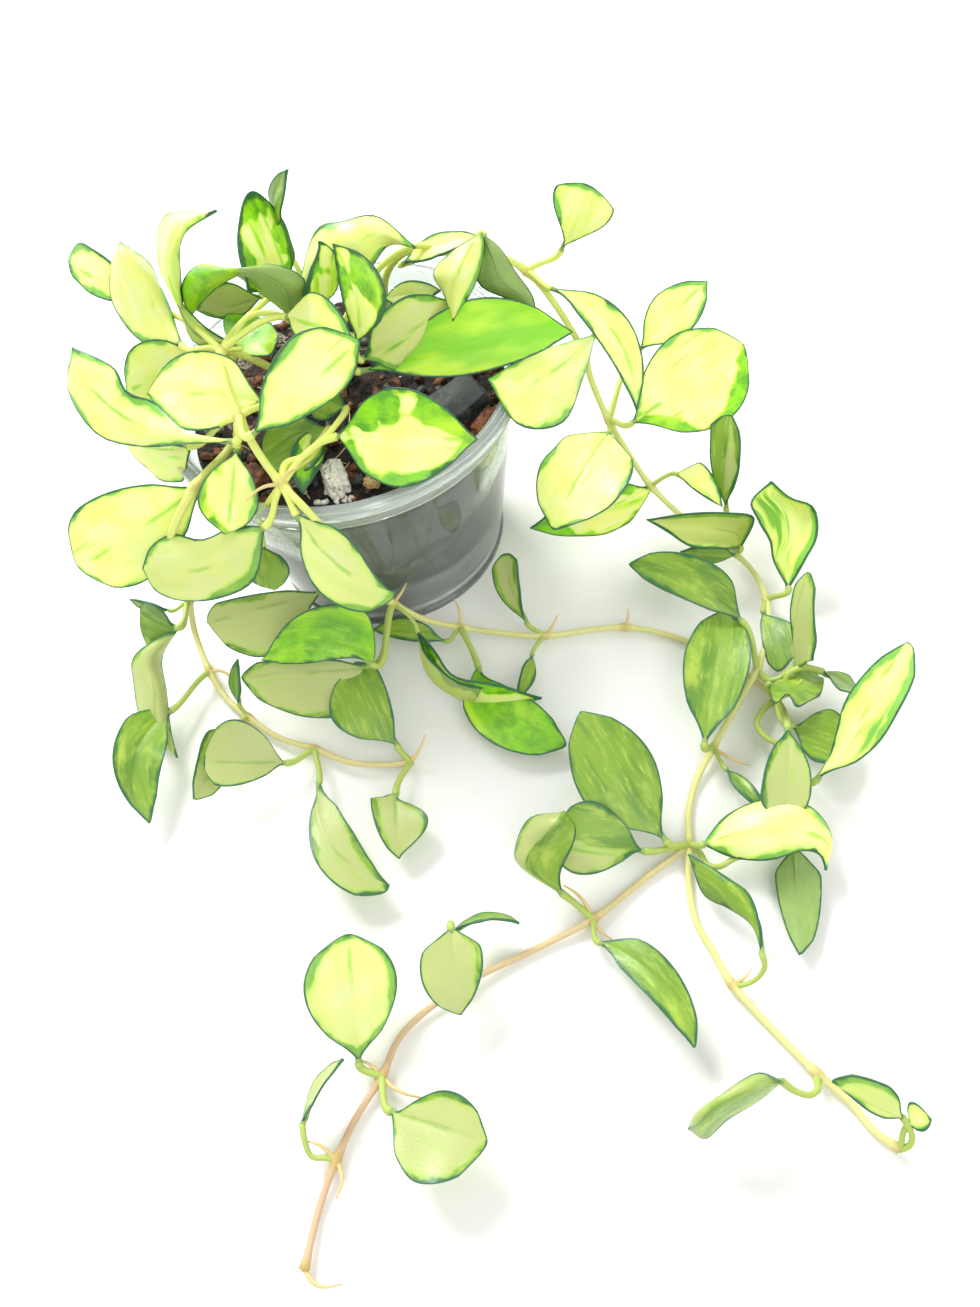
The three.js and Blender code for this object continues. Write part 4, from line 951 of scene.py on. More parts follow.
RIGHT_LEAVES = [
    leaf("rim", (81, 29, 84), (92, 31, 104), (10, 11), -60, "cream", full=0.8, slim=(2.4, 1.7),
        blunt=0.45),
    leaf("rim", (75, 22, 76), (93, -20, 52), 6, -20, "cream", lean=-0.16),
    leaf("fall", (93, -13, 40), (138, 2, 49), (16.5, 18.5), -35, "cream", full=0.55, blunt=0.6,
        rim=(1.2, 2.4)),
    railed("over", (88, 15, 58), [((79, -4, 57), (76, -4, 68), (76, 3, 68)),
        ((66, -30, 65), (63, -20, 76), (64, -10, 78)), ((51, -38, 76), (52, -29, 82), (53, -18, 82))],
        (45, -24, 84), "cream"),
    leaf("fall", (104, 17, 44), (134, 31, 56), 9, -25, "cream", slim=1.2),
    leaf("fall", (86, -9, 34), (57, -43, 30), (18, 14.5), 0, "cream", slim=(0.6, 0.4), blunt=0.6),
    leaf("low", (97, -24, 18), (50, -35, 24), 10, 75, "margined", full=(0.3, 0.5), slim=(0.35, 0.85)),
    leaf("low", (106, -27, 24), (116, -46, 24), (8, 1), -35, "cream", full=(0.3, 0.5), slim=(0.4, 0.8)),
    leaf("first", (119, -42, 18), (125, -24, 44), (6.5, 6), 30, ("mottled", "pale"), full=(0.9, 0.6),
        slim=(0.8, 0.9), blunt=(0.3, 0.6)),
    railed("first", (120, -56, 12), [((111, -60, 20), (120, -50, 13), (124, -55, 26)),
        ((102, -57, 20), (109, -48, 18), (114, -51, 27)),
        ((96, -50, 22), (99, -47, 22), (100, -48, 28))], (89, -46, 27), "soft"),
    leaf("first", (118, -57, 10), (99, -53, 14), (3, 6), 80, "mottled"),
    railed("second", (130, -76, 10), [((127, -68, 16), (132, -65, 12), (137, -71, 17)),
        ((127, -63, 22), (136, -59, 16), (142, -66, 22)),
        ((124, -58, 28), (136, -52, 21), (143, -58, 27)),
        ((123, -52, 31), (132, -47, 26), (137, -53, 29))], (133, -45, 30), "streaked"),
    leaf("second", (120, -80, 6), (117, -104, 6), (9.5, 3), -20, "mottled", full=(0.6, 0.8),
        slim=(1.2, 0.5), blunt=(0.5, 0.3)),
    leaf("third", (120, -107, 12), (130, -86, 32), (3.5, 11), 50, "pale", full=(0.77, 0.12),
        slim=(3, 0.3), blunt=(0.4, 0.5), via=[(111, -107, 8), (115, -108, 9), (119, -107, 11)]),
    leaf("third", (109, -88, 16), (79, -59, 22), (6, 9), 35, "mottled", lean=0.09, full=(0.6, 0.38),
        slim=(0.6, 0.9), blunt=0.6),
    leaf("third", (127, -112, 14), (136, -123, 10), (6, 10), 40, "mottled", via=[(115, -112, 8),
        (117, -109, 12), (122, -109, 14)]),
    leaf("fourth", (84, -126, 12), (105, -80, 12), (10, 11), 0, "mottled", full=(0.55, 0.6),
        slim=(0.8, 0.7), blunt=(0.6, 0.45)),
    leaf("fourth", (89, -133, 6), (95, -153, 12), (2, 3), 0, "mottled"),
    leaf("fork", (64, -152, 8), (49, -111, 24), (14, 11), 15, "mottled", full=(0.5, 0.55), slim=(1, 1.2),
        blunt=(0.6, 0.65)),
    leaf("fork", (57, -153, 7), (31, -145, 16), (10, 12), 20, ("pale", "mottled"), full=(0.7, 0.65),
        slim=(1.3, 1.1), blunt=0.5),
    railed("fork", (74, -156, 9), [((83, -150, 12), (83, -157, 14), (81, -162, 9)),
        ((95, -149, 14), (92, -159, 18), (90, -166, 12)),
        ((106, -154, 14), (101, -162, 17), (99, -166, 13)),
        ((110, -163, 11), (107, -166, 13), (104, -168, 12))], (105, -172, 9), "cream"),
    leaf("fork", (99, -164, 9), (90, -192, 5), (6, 7), 170, "mottled", full=(0.2, 0.25), slim=0.3,
        blunt=(0.8, 0.45), via=[(73, -156, 4), (74, -161, 5), (77, -163, 7), (82, -162, 8),
        (90, -163, 9)]),
    railed("left_first", (30, -160, 8), [((20, -151, 14), (23, -154, 18), (31, -156, 14)),
        ((20, -146, 18), (27, -149, 24), (36, -151, 20)),
        ((26, -141, 22), (33, -147, 30), (38, -147, 24))], (36, -143, 26), ("pale", "mottled")),
    leaf("left_first", (37, -176, 6), (54, -210, 10), (6, 5), -10, "mottled", lean=-0.13,
        full=(0.37, 0.45), slim=0.6, blunt=(0.5, 0.7)),
    leaf("left_second", (-3, -166, 18), (-5, -188, 12), (8, 10), 5, "pale", full=(0.35, 0.45),
        slim=(0.35, 0.4), blunt=(0.8, 0.5)),
    leaf("left_second", (-4, -165, 12), (16, -167, 12), 3, 50, "mottled", lean=-0.18),
    leaf("left_third", (-36, -193, 7), (-32, -161, 20), (13.5, 12.5), -15, "soft", full=0.62, slim=1,
        blunt=0.52),
    leaf("left_third", (-29, -207, 7), (-4, -221, 14), (9, 14), 0, "pale", full=(0.6, 0.52),
        slim=(1.5, 0.9), blunt=(0.6, 0.5)),
    leaf("left_fourth", (-53, -205, 8), (-38, -193, 16), 4, 50, "pale", via=[(-48, -214, 4),
        (-52, -213, 5), (-53, -209, 7)]),
    railed("low_first", (79, -191, 12), [((79, -183, 12), (80, -184, 13), (81, -184, 14)),
        ((75, -176, 9), (78, -176, 14), (81, -175, 13)),
        ((70, -169, 6), (75, -170, 14), (77, -169, 13))], (69, -158, 9), "mottled", via=[(72, -196, 4),
        (76, -196, 6), (79, -194, 10)]),
    railed("low_second", (73, -223, 12), [((67, -225, 12), (65, -224, 24), (66, -221, 22)),
        ((58, -228, 10), (55, -226, 24), (56, -224, 22)),
        ((51, -231, 7), (49, -228, 20), (49, -226, 18))], (47, -228, 8), ("mottled", "pale"),
        via=[(83, -224, 4), (82, -226, 6), (79, -227, 8), (75, -225, 10)]),
    leaf("low_end", (99, -237, 10), (84, -226, 16), (2, 7), 40, "soft", full=(0.3, 0.5), slim=(0.5, 0.7),
        blunt=(1.5, 0.45), via=[(99, -243, 5), (100, -241, 8)]),
    leaf("low_end", (100, -239, 9), (105, -239, 12), (5, 2), -5, "soft"),
]
RIGHT_ROOTS = [
    ("fourth", (97, -133, 4), 0.1),
    ("left_first", (31, -157, 6), 0.1),
    ("left_first", (41, -175, 2), 0.1),
    ("left_third", (-20, -205, 3), 0.1),
    ("left_third", (-36, -192, 6), 0.1),
    ("left_fourth", (-53, -209, 6), 0.1),
    ("left_fourth", (-47, -224, 3), -0.2),
    ("left_end", (-48, -243, 2), 0.2),
    ("low_first", (76, -193, 6), 0.1),
]

# Crown shoots: the short upright growth in the middle and right of the pot
CROWN_KNOTS = {
    "left": (-3, 16, 104), "middle": (8, -6, 96), "right": (47, 12, 104),
}
CROWN_RUNS = [
    rooted(2, 14) + passing(CROWN_KNOTS, (0, 16, 92), "left"),
    passing(CROWN_KNOTS, (2, 14, 80), (8, 2, 90), "middle"),
    passing(CROWN_KNOTS, (2, 14, 84), (16, 18, 98), (32, 18, 106), "right"),
]
CROWN_LEAVES = [
    leaf("left", (-8, 12, 108), (-10, 16, 136), (17, 6), -20, "striped", full=(0.35, 0.4),
        slim=(0.6, 0.4), blunt=(0.55, 0.4), point=0),
    leaf("left", (-6, 21, 122), (3, 12, 142), (3.5, 6), -60, "mottled"),
    railed("left", (-5, 14, 104), [((5, 19, 118), (5, 10, 113), (6, 11, 104)),
        ((14, 14, 122), (15, 6, 119), (17, 9, 108)), ((24, 15, 120), (24, 10, 118), (25, 14, 111))],
        (33, 8, 112), "cream"),
    leaf("middle", (1, -1, 106), (6, 4, 124), (7, 6), -75, "striped", full=(0.33, 0.5),
        blunt=(1.6, 0.45)),
    leaf("middle", (9, -15, 101), (10, -2, 126), (4, 9), 5, "striped", lean=0.12, cup=-14),
    leaf("middle", (9, -11, 92), (39, -1, 98), 12, -80, "soft"),
    leaf("middle", (7, -10, 87), (75, -12, 84), (15, 7), -50, "lime", arch=0.03, full=(0.58, 0.5),
        slim=(1.35, 1.3), blunt=(0.8, 0.75)),
    leaf("middle", (19, 15, 92), (38, 10, 94), 4, -35, "soft"),
    railed("right", (53, 7, 112), [((53, 5, 108), (48, -2, 114), (43, 3, 111)),
        ((50, -1, 105), (44, -7, 112), (37, 5, 104)), ((45, -4, 100), (41, -7, 105), (38, 1, 99))],
        (39, -7, 95), "margined", rim=0.5),
    railed("right", (54, 9, 110), [((50, 6, 104), (55, 2, 107), (58, 7, 106)),
        ((50, 2, 98), (56, -1, 101), (61, 2, 100)), ((60, -2, 92), (62, -3, 94), (65, -2, 93))],
        (65, -6, 86), "grassy"),
    leaf("right", (28, 21, 99), (53, 9, 110), 4, -25, "cream"),
]

# How far each stem has turned from green to tan, at its start and its end
FRONT_AGES = [(0.1, 0.3)]
LEFT_AGES = [(0.1, 0.45)]
RIGHT_AGES = [(0.05, 0.25), (0.4, 0.95)]
CROWN_AGES = [(0, 0.1)] * 3

VINES = [
    ("vine_front", "front_green", FRONT_KNOTS, FRONT_RUNS, FRONT_AGES, FRONT_LEAVES, FRONT_ROOTS),
    ("vine_left", "left_green", LEFT_KNOTS, LEFT_RUNS, LEFT_AGES, LEFT_LEAVES, LEFT_ROOTS),
    ("vine_right", "right_green", RIGHT_KNOTS, RIGHT_RUNS, RIGHT_AGES, RIGHT_LEAVES, RIGHT_ROOTS),
    ("crown_shoots", "crown_green", CROWN_KNOTS, CROWN_RUNS, CROWN_AGES, CROWN_LEAVES, []),
]


def make_vine(name, slot, knots, runs, ages, leaves, roots, first_number, stem_skin, upper, under):
    """One vine: its stems, petioles and aerial roots are one piece, and its leaves are another. It
    returns the number of the next vine's first leaf."""
    places, faces, states = [], [], []
    for run, age in zip(runs, ages):
        stout = STEM_RADIUS if run[0][2] == ROOTED_TO else STEM_END_RADIUS
        centres, radii, ring_states = stem_rings(run, list(knots.values()), age, stout)
        add_tube(centres, radii, ring_states, STEM_SIDES, places, faces, states)
    for row in leaves:
        centres, radii = petiole_points(row, knots[row["at"]])
        free = len(centres) - RIB_STEPS
        tones = [PETIOLE_STATE] * free + [RIB_STATE] * RIB_STEPS
        add_tube(centres, radii, tones, PETIOLE_SIDES, places, faces, states)
    for at, end, bow in roots:
        centres, radii, ring_states = aerial_root(knots[at], end, bow)
        add_tube(centres, radii, ring_states, ROOT_SIDES, places, faces, states)
    stem = new_piece(f"{name}_stems", places, faces, [stem_skin])
    write_numbers(stem, "stem_state", "FLOAT_COLOR", states)

    places, faces, face_looks, blades, margins, looks = [], [], [], [], [], []
    for i, row in enumerate(leaves):
        add_leaf(row, first_number + i, places, faces, face_looks, blades, margins, looks)
    blade = new_piece(f"{name}_leaves", places, faces, [upper, under], face_looks)
    write_numbers(blade, "blade", "FLOAT_VECTOR", blades)
    write_numbers(blade, "margin", "FLOAT", margins)
    write_numbers(blade, "leaf_look", "FLOAT_COLOR", looks)
    for piece in (stem, blade):
        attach(piece, "root")
        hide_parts(name)
    return first_number + len(leaves)


variegation = leaf_pattern()
stem_skin = stem_look()
upper_skin = leaf_upper_look(variegation)
under_skin = leaf_under_look(variegation)
leaf_number = 1
for vine in VINES:
    leaf_number = make_vine(*vine, leaf_number, stem_skin, upper_skin, under_skin)


# Pot
CLEAR_PLASTIC = tint(240, 246, 244)
MILKY_PLASTIC = tint(230, 238, 234)
PLASTIC_SHADOW = tint(250, 252, 251)


def pot_plastic_look(name, colour, clearness, smooth, smeared):
    look, tree, shader = new_look(name)
    place = coordinates(tree)
    smear = ramp(tree, noise(tree, place, 60, 4.0, 0.6), 0.4, 0.75, smooth, smeared)
    relief = bump(tree, noise(tree, place, 45, 3.0), 0.08, 0.002)
    feed(tree, shader, {"Base Color": colour, "Roughness": smear, "Normal": relief})
    feed(tree, shader, {"Transmission Weight": clearness, "IOR": PLASTIC_IOR})
    clear = node(tree, "ShaderNodeBsdfTransparent", {"Color": PLASTIC_SHADOW}).outputs[0]
    shadow = node(tree, "ShaderNodeLightPath").outputs["Is Shadow Ray"]
    both = node(tree, "ShaderNodeMixShader", {0: shadow, 1: shader.outputs[0], 2: clear}).outputs[0]
    feed(tree, tree.nodes["Material Output"], {"Surface": both})
    return look


def pot_profile():
    """The pot's section from the middle of its foot up to the rim and back down inside."""
    return [
        (0, 0),
        (FOOT_RADIUS - 1, 0),
        (FOOT_RADIUS - 0.2, 0.3),
        (FOOT_RADIUS, 1),
        (FOOT_RADIUS, FOOT_BAND - FOOT_INSET),
        (FOOT_RADIUS - FOOT_INSET, FOOT_BAND),
        (WALL_TOP_RADIUS, SKIRT_AT),
        (WALL_TOP_RADIUS + 1, SKIRT_AT),
        (WALL_TOP_RADIUS + 1.4, SKIRT_AT + 3),
        (RIM_RADIUS - 1.2, SKIRT_AT + 4.4),
        *[(RIM_RADIUS - inwards, POT_HIGH - down) for inwards, down in RIM_RINGS],
        (RIM_INNER_RADIUS + 0.7, POT_HIGH - 0.4),
        (RIM_INNER_RADIUS, POT_HIGH - 1.4),
        (WALL_TOP_RADIUS - WALL_THICK, SKIRT_AT),
        (INNER_FOOT_RADIUS, FLOOR_THICK + FLOOR_ROUND),
        (INNER_FOOT_RADIUS - FLOOR_ROUND, FLOOR_THICK),
        (0, FLOOR_THICK),
    ]


def make_pot():
    clear_selection()
    mesh = bpy.data.meshes.new("clear_pot")
    profile = pot_profile()
    edges = [(i, i + 1) for i in range(len(profile) - 1)]
    mesh.from_pydata([(r * MM, 0, z * MM) for r, z in profile], edges, [])
    pot = new_object("clear_pot", mesh)
    pot.select_set(True)
    bpy.context.view_layer.objects.active = pot
    bpy.ops.object.mode_set(mode="EDIT")
    bpy.ops.mesh.select_all(action="SELECT")
    bpy.ops.mesh.spin(steps=POT_STEPS, angle=2 * math.pi, center=(0, 0, 0), axis=(0, 0, 1))
    bpy.ops.mesh.select_all(action="SELECT")
    bpy.ops.mesh.remove_doubles(threshold=0.00001)
    bpy.ops.mesh.normals_make_consistent(inside=False)
    bpy.ops.object.mode_set(mode="OBJECT")
    bpy.ops.object.shade_smooth_by_angle(angle=SMOOTH_UP_TO)
    pot.data.materials.append(pot_plastic_look("clear pot plastic", CLEAR_PLASTIC, 0.95, 0.05, 0.16))
    pot.data.materials.append(pot_plastic_look("milky rim plastic", MILKY_PLASTIC, 0.72, 0.06, 0.13))
    for face in pot.data.polygons:
        face.material_index = 1 if face.center.z > (SKIRT_AT + 0.2) * MM else 0
    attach(pot, "root")
    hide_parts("pot")


make_pot()


# Potting mix
SOIL_DARK = tint(34, 30, 28)
SOIL_BROWN = tint(84, 60, 46)
SOIL_CHAFF = tint(176, 164, 146)
SOIL_GRIME = tint(26, 24, 23)
WALL_DARK = tint(44, 47, 42)
# Painted reflection of the bright room and painted light on the mix's side behind the wall, with some haze
REFLECTION_AND_HAZE = tint(248, 250, 242)
WALL_SPECK = tint(52, 52, 49)


def mix_look():
    """Dark crumbs on top. On the side behind the wall a painted reflection of the bright room, with some
    haze, greys them, least at the front, and a painted light brightens the foot.
    """
    look, tree, shader = new_look("dark potting mix")
    place = coordinates(tree)
    cells = node(tree, "ShaderNodeTexVoronoi", {"Vector": place, "Scale": 240.0}).outputs
    tone = channels(tree, cells["Color"])[0]
    soil = colour_mix(tree, ramp(tree, tone, 0.2, 0.9), SOIL_DARK, SOIL_BROWN)
    soil = colour_mix(tree, ramp(tree, tone, 0.94, 0.96), soil, SOIL_CHAFF)
    grime = noise(tree, place, 900, 4.0, 0.7)
    soil = colour_mix(tree, ramp(tree, grime, 0.35, 0.7), soil, SOIL_GRIME)

    # The side behind the wall: painted reflection, lightest at the sides and darker at the front and back
    flat = node(tree, "ShaderNodeVectorMath", {0: place, 1: (1, 1, 0)}, operation="MULTIPLY").outputs[0]
    way = node(tree, "ShaderNodeVectorMath", {0: flat}, operation="NORMALIZE").outputs[0]
    facing = node(tree, "ShaderNodeVectorMath", {0: way, 1: MIX_FRONT}, operation="DOT_PRODUCT").outputs[1]
    height = axis(tree, place, "Z")
    nearer = sums(tree, "SUBTRACT", facing, 0.12)
    reflection_reach = sums(tree, "MULTIPLY_ADD", noise(tree, place, 70, 3.0), 0.24, nearer)
    reflection_and_haze = ramp(tree, reflection_reach, 0.79, 0.93, 1.0, 0.08)
    # Painted light near the foot
    reflection_and_haze = sums(tree, "MAXIMUM", reflection_and_haze, ramp(tree, height, 0.008, 0.045, 1.0, 0.0))
    reflection_and_haze = sums(tree, "MULTIPLY", reflection_and_haze, ramp(tree, facing, -0.35, 0.3, 0.12, 1.0))
    wall_side = colour_mix(tree, reflection_and_haze, WALL_DARK, REFLECTION_AND_HAZE)
    specks = ramp(tree, noise(tree, place, 260, 3.0, 0.6), 0.56, 0.64, 0.0, 0.5)
    dots = ramp(tree, noise(tree, place, 640, 2.0), 0.62, 0.67, 0.0, 0.8)
    specks = sums(tree, "MAXIMUM", specks, dots)
    wall_side = colour_mix(tree, specks, wall_side, WALL_SPECK)
    on_top = ramp(tree, height, 0.0645, 0.0665)
    soil = colour_mix(tree, on_top, wall_side, soil)

    rough = ramp(tree, grime, 0.3, 0.7, 0.75, 0.98)
    crumbs = sums(tree, "MULTIPLY_ADD", cells["Distance"], -0.8, grime)
    crumbs = sums(tree, "MULTIPLY", crumbs, on_top)
    feed(tree, shader, {"Base Color": soil, "Roughness": rough, "Normal": bump(tree, crumbs, 0.9, 0.0015)})
    return look


def inner_radius(z):
    """The radius of the pot's inner wall at a height."""
    share = (z - FLOOR_THICK) / (SKIRT_AT - FLOOR_THICK)
    return INNER_FOOT_RADIUS + (WALL_TOP_RADIUS - WALL_THICK - INNER_FOOT_RADIUS) * min(1, share)


def mix_height(x, y):
    """The lumpy top of the mix, in millimetres."""
    height = MIX_TOP - 0.6
    for often, high, place in MIX_LUMPS:
        height += bumps.noise(Vector((x * often, y * often, place))) * high
    return height


def make_mix(look):
    """A turned body with a lumpy top, whose side stays just inside the pot's wall."""
    low = FLOOR_THICK + MIX_GAP
    foot = low + MIX_FOOT_HIGH
    profile = [(0, low), (inner_radius(low) - 2, low), (inner_radius(foot) - MIX_GAP, foot)]
    for i in range(1, MIX_SIDE_RINGS + 1):
        z = foot + (MIX_TOP - low - 2 * MIX_FOOT_HIGH) * i / MIX_SIDE_RINGS
        profile.append((inner_radius(z) - MIX_GAP, z))
    side_rings = len(profile)
    for i in range(1, MIX_RINGS):
        profile.append(((inner_radius(MIX_TOP) - 0.6) * (1 - i / MIX_RINGS), MIX_TOP))
    draw = random.Random(MIX_SEED)
    places, faces = [], []
    for i, (radius, z) in enumerate(profile):
        for j in range(MIX_SIDES):
            angle = 2 * math.pi * j / MIX_SIDES
            r = max(0.4, radius - draw.uniform(0, 0.5))
            x, y = r * math.cos(angle), r * math.sin(angle)
            if i >= side_rings:
                z = mix_height(x, y) + draw.uniform(-0.35, 0.35)
            places.append(Vector((x, y, z)))
    skin_rings(faces, 0, MIX_SIDES, len(profile), len(places), len(places) + 1)
    places += [Vector((0, 0, low)), Vector((0, 0, mix_height(0, 0)))]
    mix = new_piece("mix_body", places, faces, [look])
    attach(mix, "root")
    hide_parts("potting_mix")


make_mix(mix_look())


# Loose pieces in the mix
PORE_BROWN = tint(70, 62, 54)
COAL_BLACK = tint(48, 52, 51)
COAL_ASH = tint(84, 90, 84)
BARK_DARK = tint(66, 38, 28)
BARK_RED = tint(146, 92, 62)
BARK_CHAFF = tint(176, 134, 98)


def pumice_look(name, light, tan):
    look, tree, shader = new_look(name)
    place = coordinates(tree)
    body = colour_mix(tree, ramp(tree, noise(tree, place, 500, 3.0), 0.35, 0.65), tan, light)
    pores = ramp(tree, noise(tree, place, 1100, 3.0, 0.6), 0.6, 0.68)
    body = colour_mix(tree, pores, body, PORE_BROWN)
    rough = ramp(tree, pores, 0, 1, 0.8, 0.95)
    sunk = sums(tree, "MULTIPLY_ADD", pores, -0.8, noise(tree, place, 1800, 3.0))
    feed(tree, shader, {"Base Color": body, "Roughness": rough, "Normal": bump(tree, sunk, 0.8, 0.0006)})
    return look


def charcoal_look():
    look, tree, shader = new_look("charcoal")
    place = coordinates(tree)
    ash = ramp(tree, noise(tree, place, 260, 4.0, 0.65), 0.45, 0.75)
    body = colour_mix(tree, ash, COAL_BLACK, COAL_ASH)
    rough = ramp(tree, ash, 0, 1, 0.5, 0.85)
    grain = noise(tree, place, 1300, 4.0, 0.6, (0.3, 1, 1))
    feed(tree, shader, {"Base Color": body, "Roughness": rough, "Normal": bump(tree, grain, 0.5, 0.0004)})
    return look


def bark_look():
    look, tree, shader = new_look("pine bark")
    place = coordinates(tree)
    layers = noise(tree, place, 420, 4.0, 0.65, (0.5, 0.7, 1.8))
    bark = colour_mix(tree, ramp(tree, layers, 0.36, 0.66), BARK_DARK, BARK_RED)
    chaff = ramp(tree, noise(tree, place, 1200, 3.0), 0.6, 0.7)
    bark = colour_mix(tree, chaff, bark, BARK_CHAFF)
    rough = ramp(tree, layers, 0.3, 0.7, 0.7, 0.92)
    feed(tree, shader, {"Base Color": bark, "Roughness": rough, "Normal": bump(tree, layers, 0.9, 0.0012)})
    return look


def lump_shape(cuts, square, dents, seed):
    """Places and faces of a lump 2 units across: a block cut fine, rounded off and dented."""
    clear_selection()
    bpy.ops.mesh.primitive_cube_add(size=2)
    block = bpy.context.active_object
    bpy.ops.object.mode_set(mode="EDIT")
    bpy.ops.mesh.subdivide(number_cuts=cuts)
    bpy.ops.object.mode_set(mode="OBJECT")
    places = []
    for vertex in block.data.vertices:
        place = vertex.co.normalized().lerp(vertex.co, square)
        swell = 1.0
        for often, deep in dents:
            swell += deep * bumps.noise(place * often + Vector((seed, 0, 0)))
        places.append(place * swell)
    faces = [tuple(face.vertices) for face in block.data.polygons]
    bpy.data.objects.remove(block)
    return places, faces


def lay_lumps(name, slot, look, shapes, rows):
    """One piece from lumps, each with its shape, size, place and turn in degrees."""
    places, faces = [], []
    for which, size, at, turn in rows:
        shape, shape_faces = shapes[which]
        turned = Euler([math.radians(angle) for angle in turn], "XYZ").to_matrix()
        first = len(places)
        for point in shape:
            sized = Vector((point.x * size[0], point.y * size[1], point.z * size[2])) / 2
            places.append(turned @ sized + Vector(at))
        faces += [tuple(first + i for i in face) for face in shape_faces]
    piece = new_piece(name, places, faces, [look])
    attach(piece, "root")
    return piece


WHITE_PUMICE = pumice_look("white pumice", tint(252, 250, 242), tint(232, 226, 208))
TAN_PUMICE = pumice_look("tan pumice", tint(236, 208, 158), tint(206, 152, 88))
CHARCOAL = charcoal_look()
BARK = bark_look()
PITTED = [(1.5, 0.26), (4.5, 0.12), (11, 0.06)]
SPLIT = [(1.1, 0.16), (8, 0.02)]
FLAKED = [(1.4, 0.22), (5, 0.07), (12, 0.03)]
# Each has its slot, look, squareness, dents, size, place and turn
LOOSE = [
    ("pumice_lump_stone", "pumice", WHITE_PUMICE, 0.35, PITTED, (7.5, 12, 9), (-8, -37, 70.8), (10,) * 3),
    ("pumice_bit_stone", "pumice", TAN_PUMICE, 0.3, PITTED, (5, 4, 4), (3, -41, 70.5), (0, 30, 10)),
    ("charcoal_slab_piece", "charcoal", CHARCOAL, 0.72, SPLIT, (23, 14, 8), (33, -18, 71), (4, -8, 25)),
    ("bark_chip_right_piece", "bark", BARK, 0.7, FLAKED, (12, 6, 5), (42, -28, 71), (20, 10, 50)),
    ("bark_chip_middle_piece", "bark", BARK, 0.7, FLAKED, (16, 8, 5), (15, -22, 71), (10, 12, -20)),
    ("bark_chip_left_piece", "bark", BARK, 0.7, FLAKED, (13, 8, 5), (-35, -30, 71), (0, -14, 35)),
    ("bark_chip_back_piece", "bark", BARK, 0.7, FLAKED, (15, 9, 5), (-4, 37, 71), (12, 5, 15)),
]
for number, (name, slot, look, square, dents, size, at, turn) in enumerate(LOOSE):
    shape = lump_shape(LUMP_CUTS, square, dents, 3.1 * number + 1)
    loose = lay_lumps(name, slot, look, [shape], [(0, size, at, turn)])
    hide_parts(name.rsplit("_", 1)[0])

# Small bits: how many, how large in millimetres, and how thick for their size
BITS = [
    ("bark_bits", "bark", BARK, 130, (2.0, 6.0), 0.4),
    ("charcoal_bits", "charcoal", CHARCOAL, 90, (1.6, 5.0), 0.6),
    ("white_bits", "pumice", WHITE_PUMICE, 16, (0.8, 2.0), 0.8),
]
WHITE_AT_RIM_LONG = 2.6
WHITE_AT_RIM = [(-14.7, -42.6), (-12.5, -43.4), (-8.6, -43.6), (-6.3, -43.7), (-4.4, -44.4)]


def scatter_bits():
    draw = random.Random(BITS_SEED)
    shapes = [lump_shape(BIT_CUTS, 0.5, [(1.3, 0.5)], seed) for seed in (2.2, 5.4, 9.7, 13.1)]
    for name, slot, look, count, sizes, flat in BITS:
        rows = []
        for i in range(count):
            out = (inner_radius(MIX_TOP) - 4) * math.sqrt(draw.random())
            angle = draw.uniform(0, 2 * math.pi)
            x, y = out * math.cos(angle), out * math.sin(angle)
            long = draw.uniform(*sizes)
            if name == "white_bits" and i < len(WHITE_AT_RIM):
                x, y = WHITE_AT_RIM[i]
                long = WHITE_AT_RIM_LONG
            size = (long, long * draw.uniform(0.5, 0.8), long * flat)
            turn = (draw.uniform(-30, 30), draw.uniform(-30, 30), draw.uniform(0, 360))
            at = (x, y, mix_height(x, y) + 0.2 * size[2])
            rows.append((draw.randrange(len(shapes)), size, at, turn))
        lay_lumps(name, slot, look, shapes, rows)


scatter_bits()


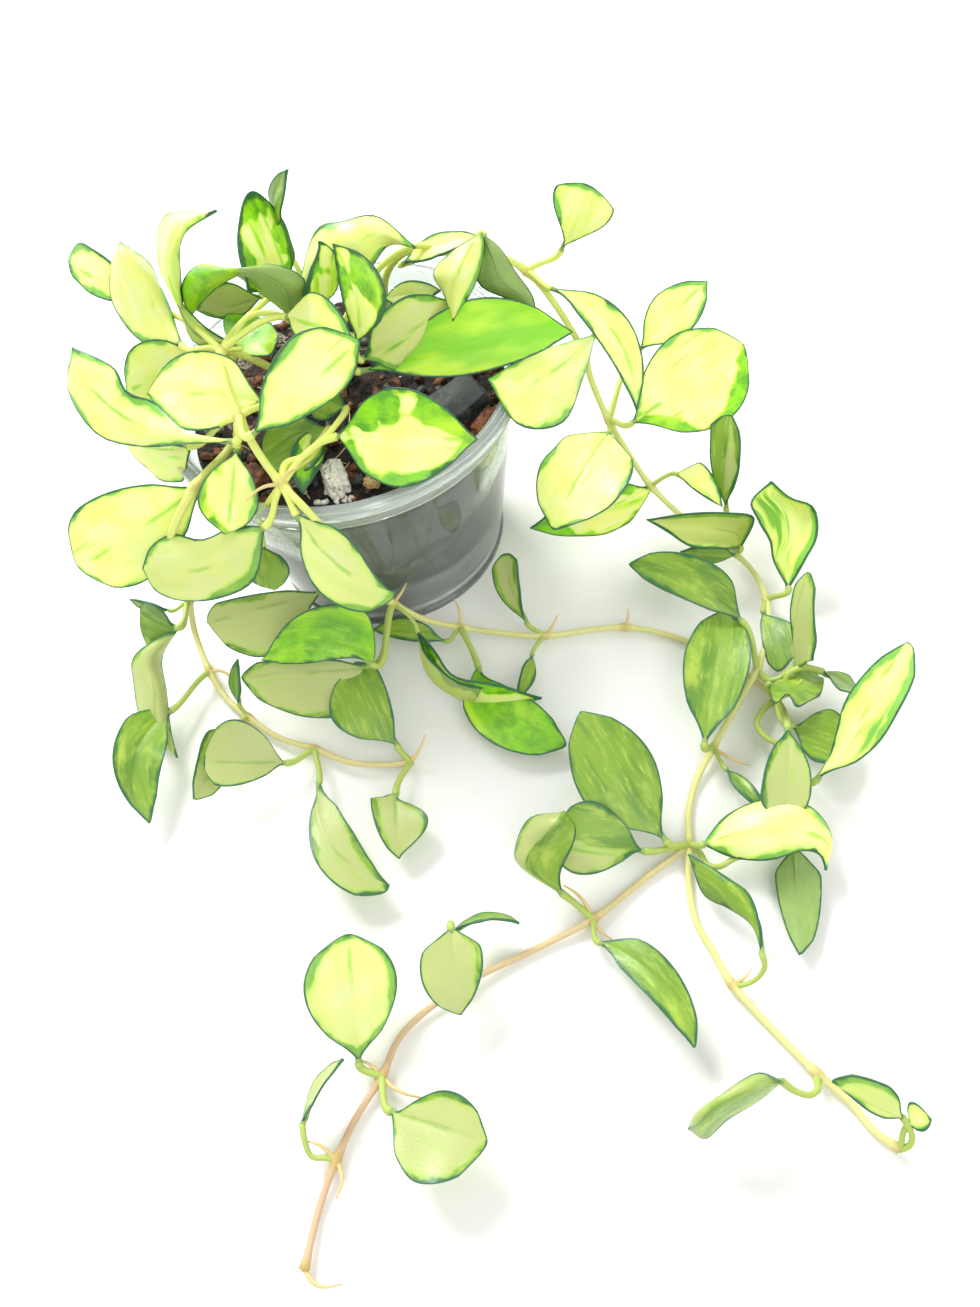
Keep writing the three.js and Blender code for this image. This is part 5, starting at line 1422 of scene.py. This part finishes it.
def lay_fibres():
    """Fine root ends and husk threads that lie on the mix."""
    draw = random.Random(FIBRES_SEED)
    places, faces, states = [], [], []
    for _ in range(FIBRES):
        out = FIBRES_WITHIN * math.sqrt(draw.random())
        angle, way = draw.uniform(0, 2 * math.pi), draw.uniform(0, 2 * math.pi)
        x, y = out * math.cos(angle), out * math.sin(angle)
        bend, step = draw.uniform(-0.3, 0.3), draw.uniform(1.0, 1.8)
        centres = []
        for k in range(FIBRE_POINTS):
            z = mix_height(x, y) + 0.5 + 0.8 * math.sin(math.pi * k / (FIBRE_POINTS - 1))
            centres.append(Vector((x, y, z)))
            x, y, way = x + step * math.cos(way), y + step * math.sin(way), way + bend
        radii, tones = [FIBRE_RADIUS] * FIBRE_POINTS, [FIBRE_STATE] * FIBRE_POINTS
        add_tube(centres, radii, tones, FIBRE_SIDES, places, faces, states)
    piece = new_piece("mix_fibres", places, faces, [stem_skin])
    write_numbers(piece, "stem_state", "FLOAT_COLOR", states)
    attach(piece, "root")


lay_fibres()


# Stage, light and camera
FLOOR_WHITE = tint(240, 240, 237)


def make_floor():
    look, tree, shader = new_look("plain pale floor")
    feed(tree, shader, {"Base Color": FLOOR_WHITE, "Roughness": 0.45})
    clear_selection()
    bpy.ops.mesh.primitive_plane_add(size=FLOOR_WIDE)
    floor = bpy.context.active_object
    floor.name = "floor"
    floor.data.materials.append(look)


def make_light(name, at, size, power):
    light = bpy.data.lights.new(name, "AREA")
    light.shape = "DISK"
    light.size = size
    light.energy = power
    lamp = new_object(name, light)
    lamp.location = at
    lamp.rotation_euler = (Vector(LAMP_AIM) - Vector(at)).to_track_quat("-Z", "Y").to_euler()


def make_camera():
    lens = bpy.data.cameras.new("photo view")
    lens.sensor_fit = "HORIZONTAL"
    lens.sensor_width = SENSOR_WIDE
    lens.lens = SENSOR_WIDE * FOCAL_PIXELS / PHOTO_WIDE
    lens.clip_start = 0.01
    camera = new_object("photo view", lens)
    ahead = Vector((0, math.cos(CAMERA_DOWN), -math.sin(CAMERA_DOWN)))
    right = Vector((1, 0, 0))
    over = right.cross(ahead)
    turned_right = right * math.cos(CAMERA_ROLL) + over * math.sin(CAMERA_ROLL)
    turned_up = over * math.cos(CAMERA_ROLL) - right * math.sin(CAMERA_ROLL)
    place = Matrix.Translation(Vector(CAMERA_AT) * MM)
    turn = Matrix((turned_right, turned_up, -ahead)).transposed().to_4x4()
    camera.matrix_world = place @ turn
    bpy.context.scene.camera = camera


def make_daylight():
    world = bpy.data.worlds.new("soft daylight")
    world.use_nodes = True
    feed(world.node_tree, world.node_tree.nodes["Background"], {"Color": (1, 1, 1, 1), "Strength": DAYLIGHT})
    bpy.context.scene.world = world
    bpy.context.scene.view_settings.view_transform = "Standard"


make_floor()
for lamp in LAMPS:
    make_light(*lamp)
make_camera()
make_daylight()
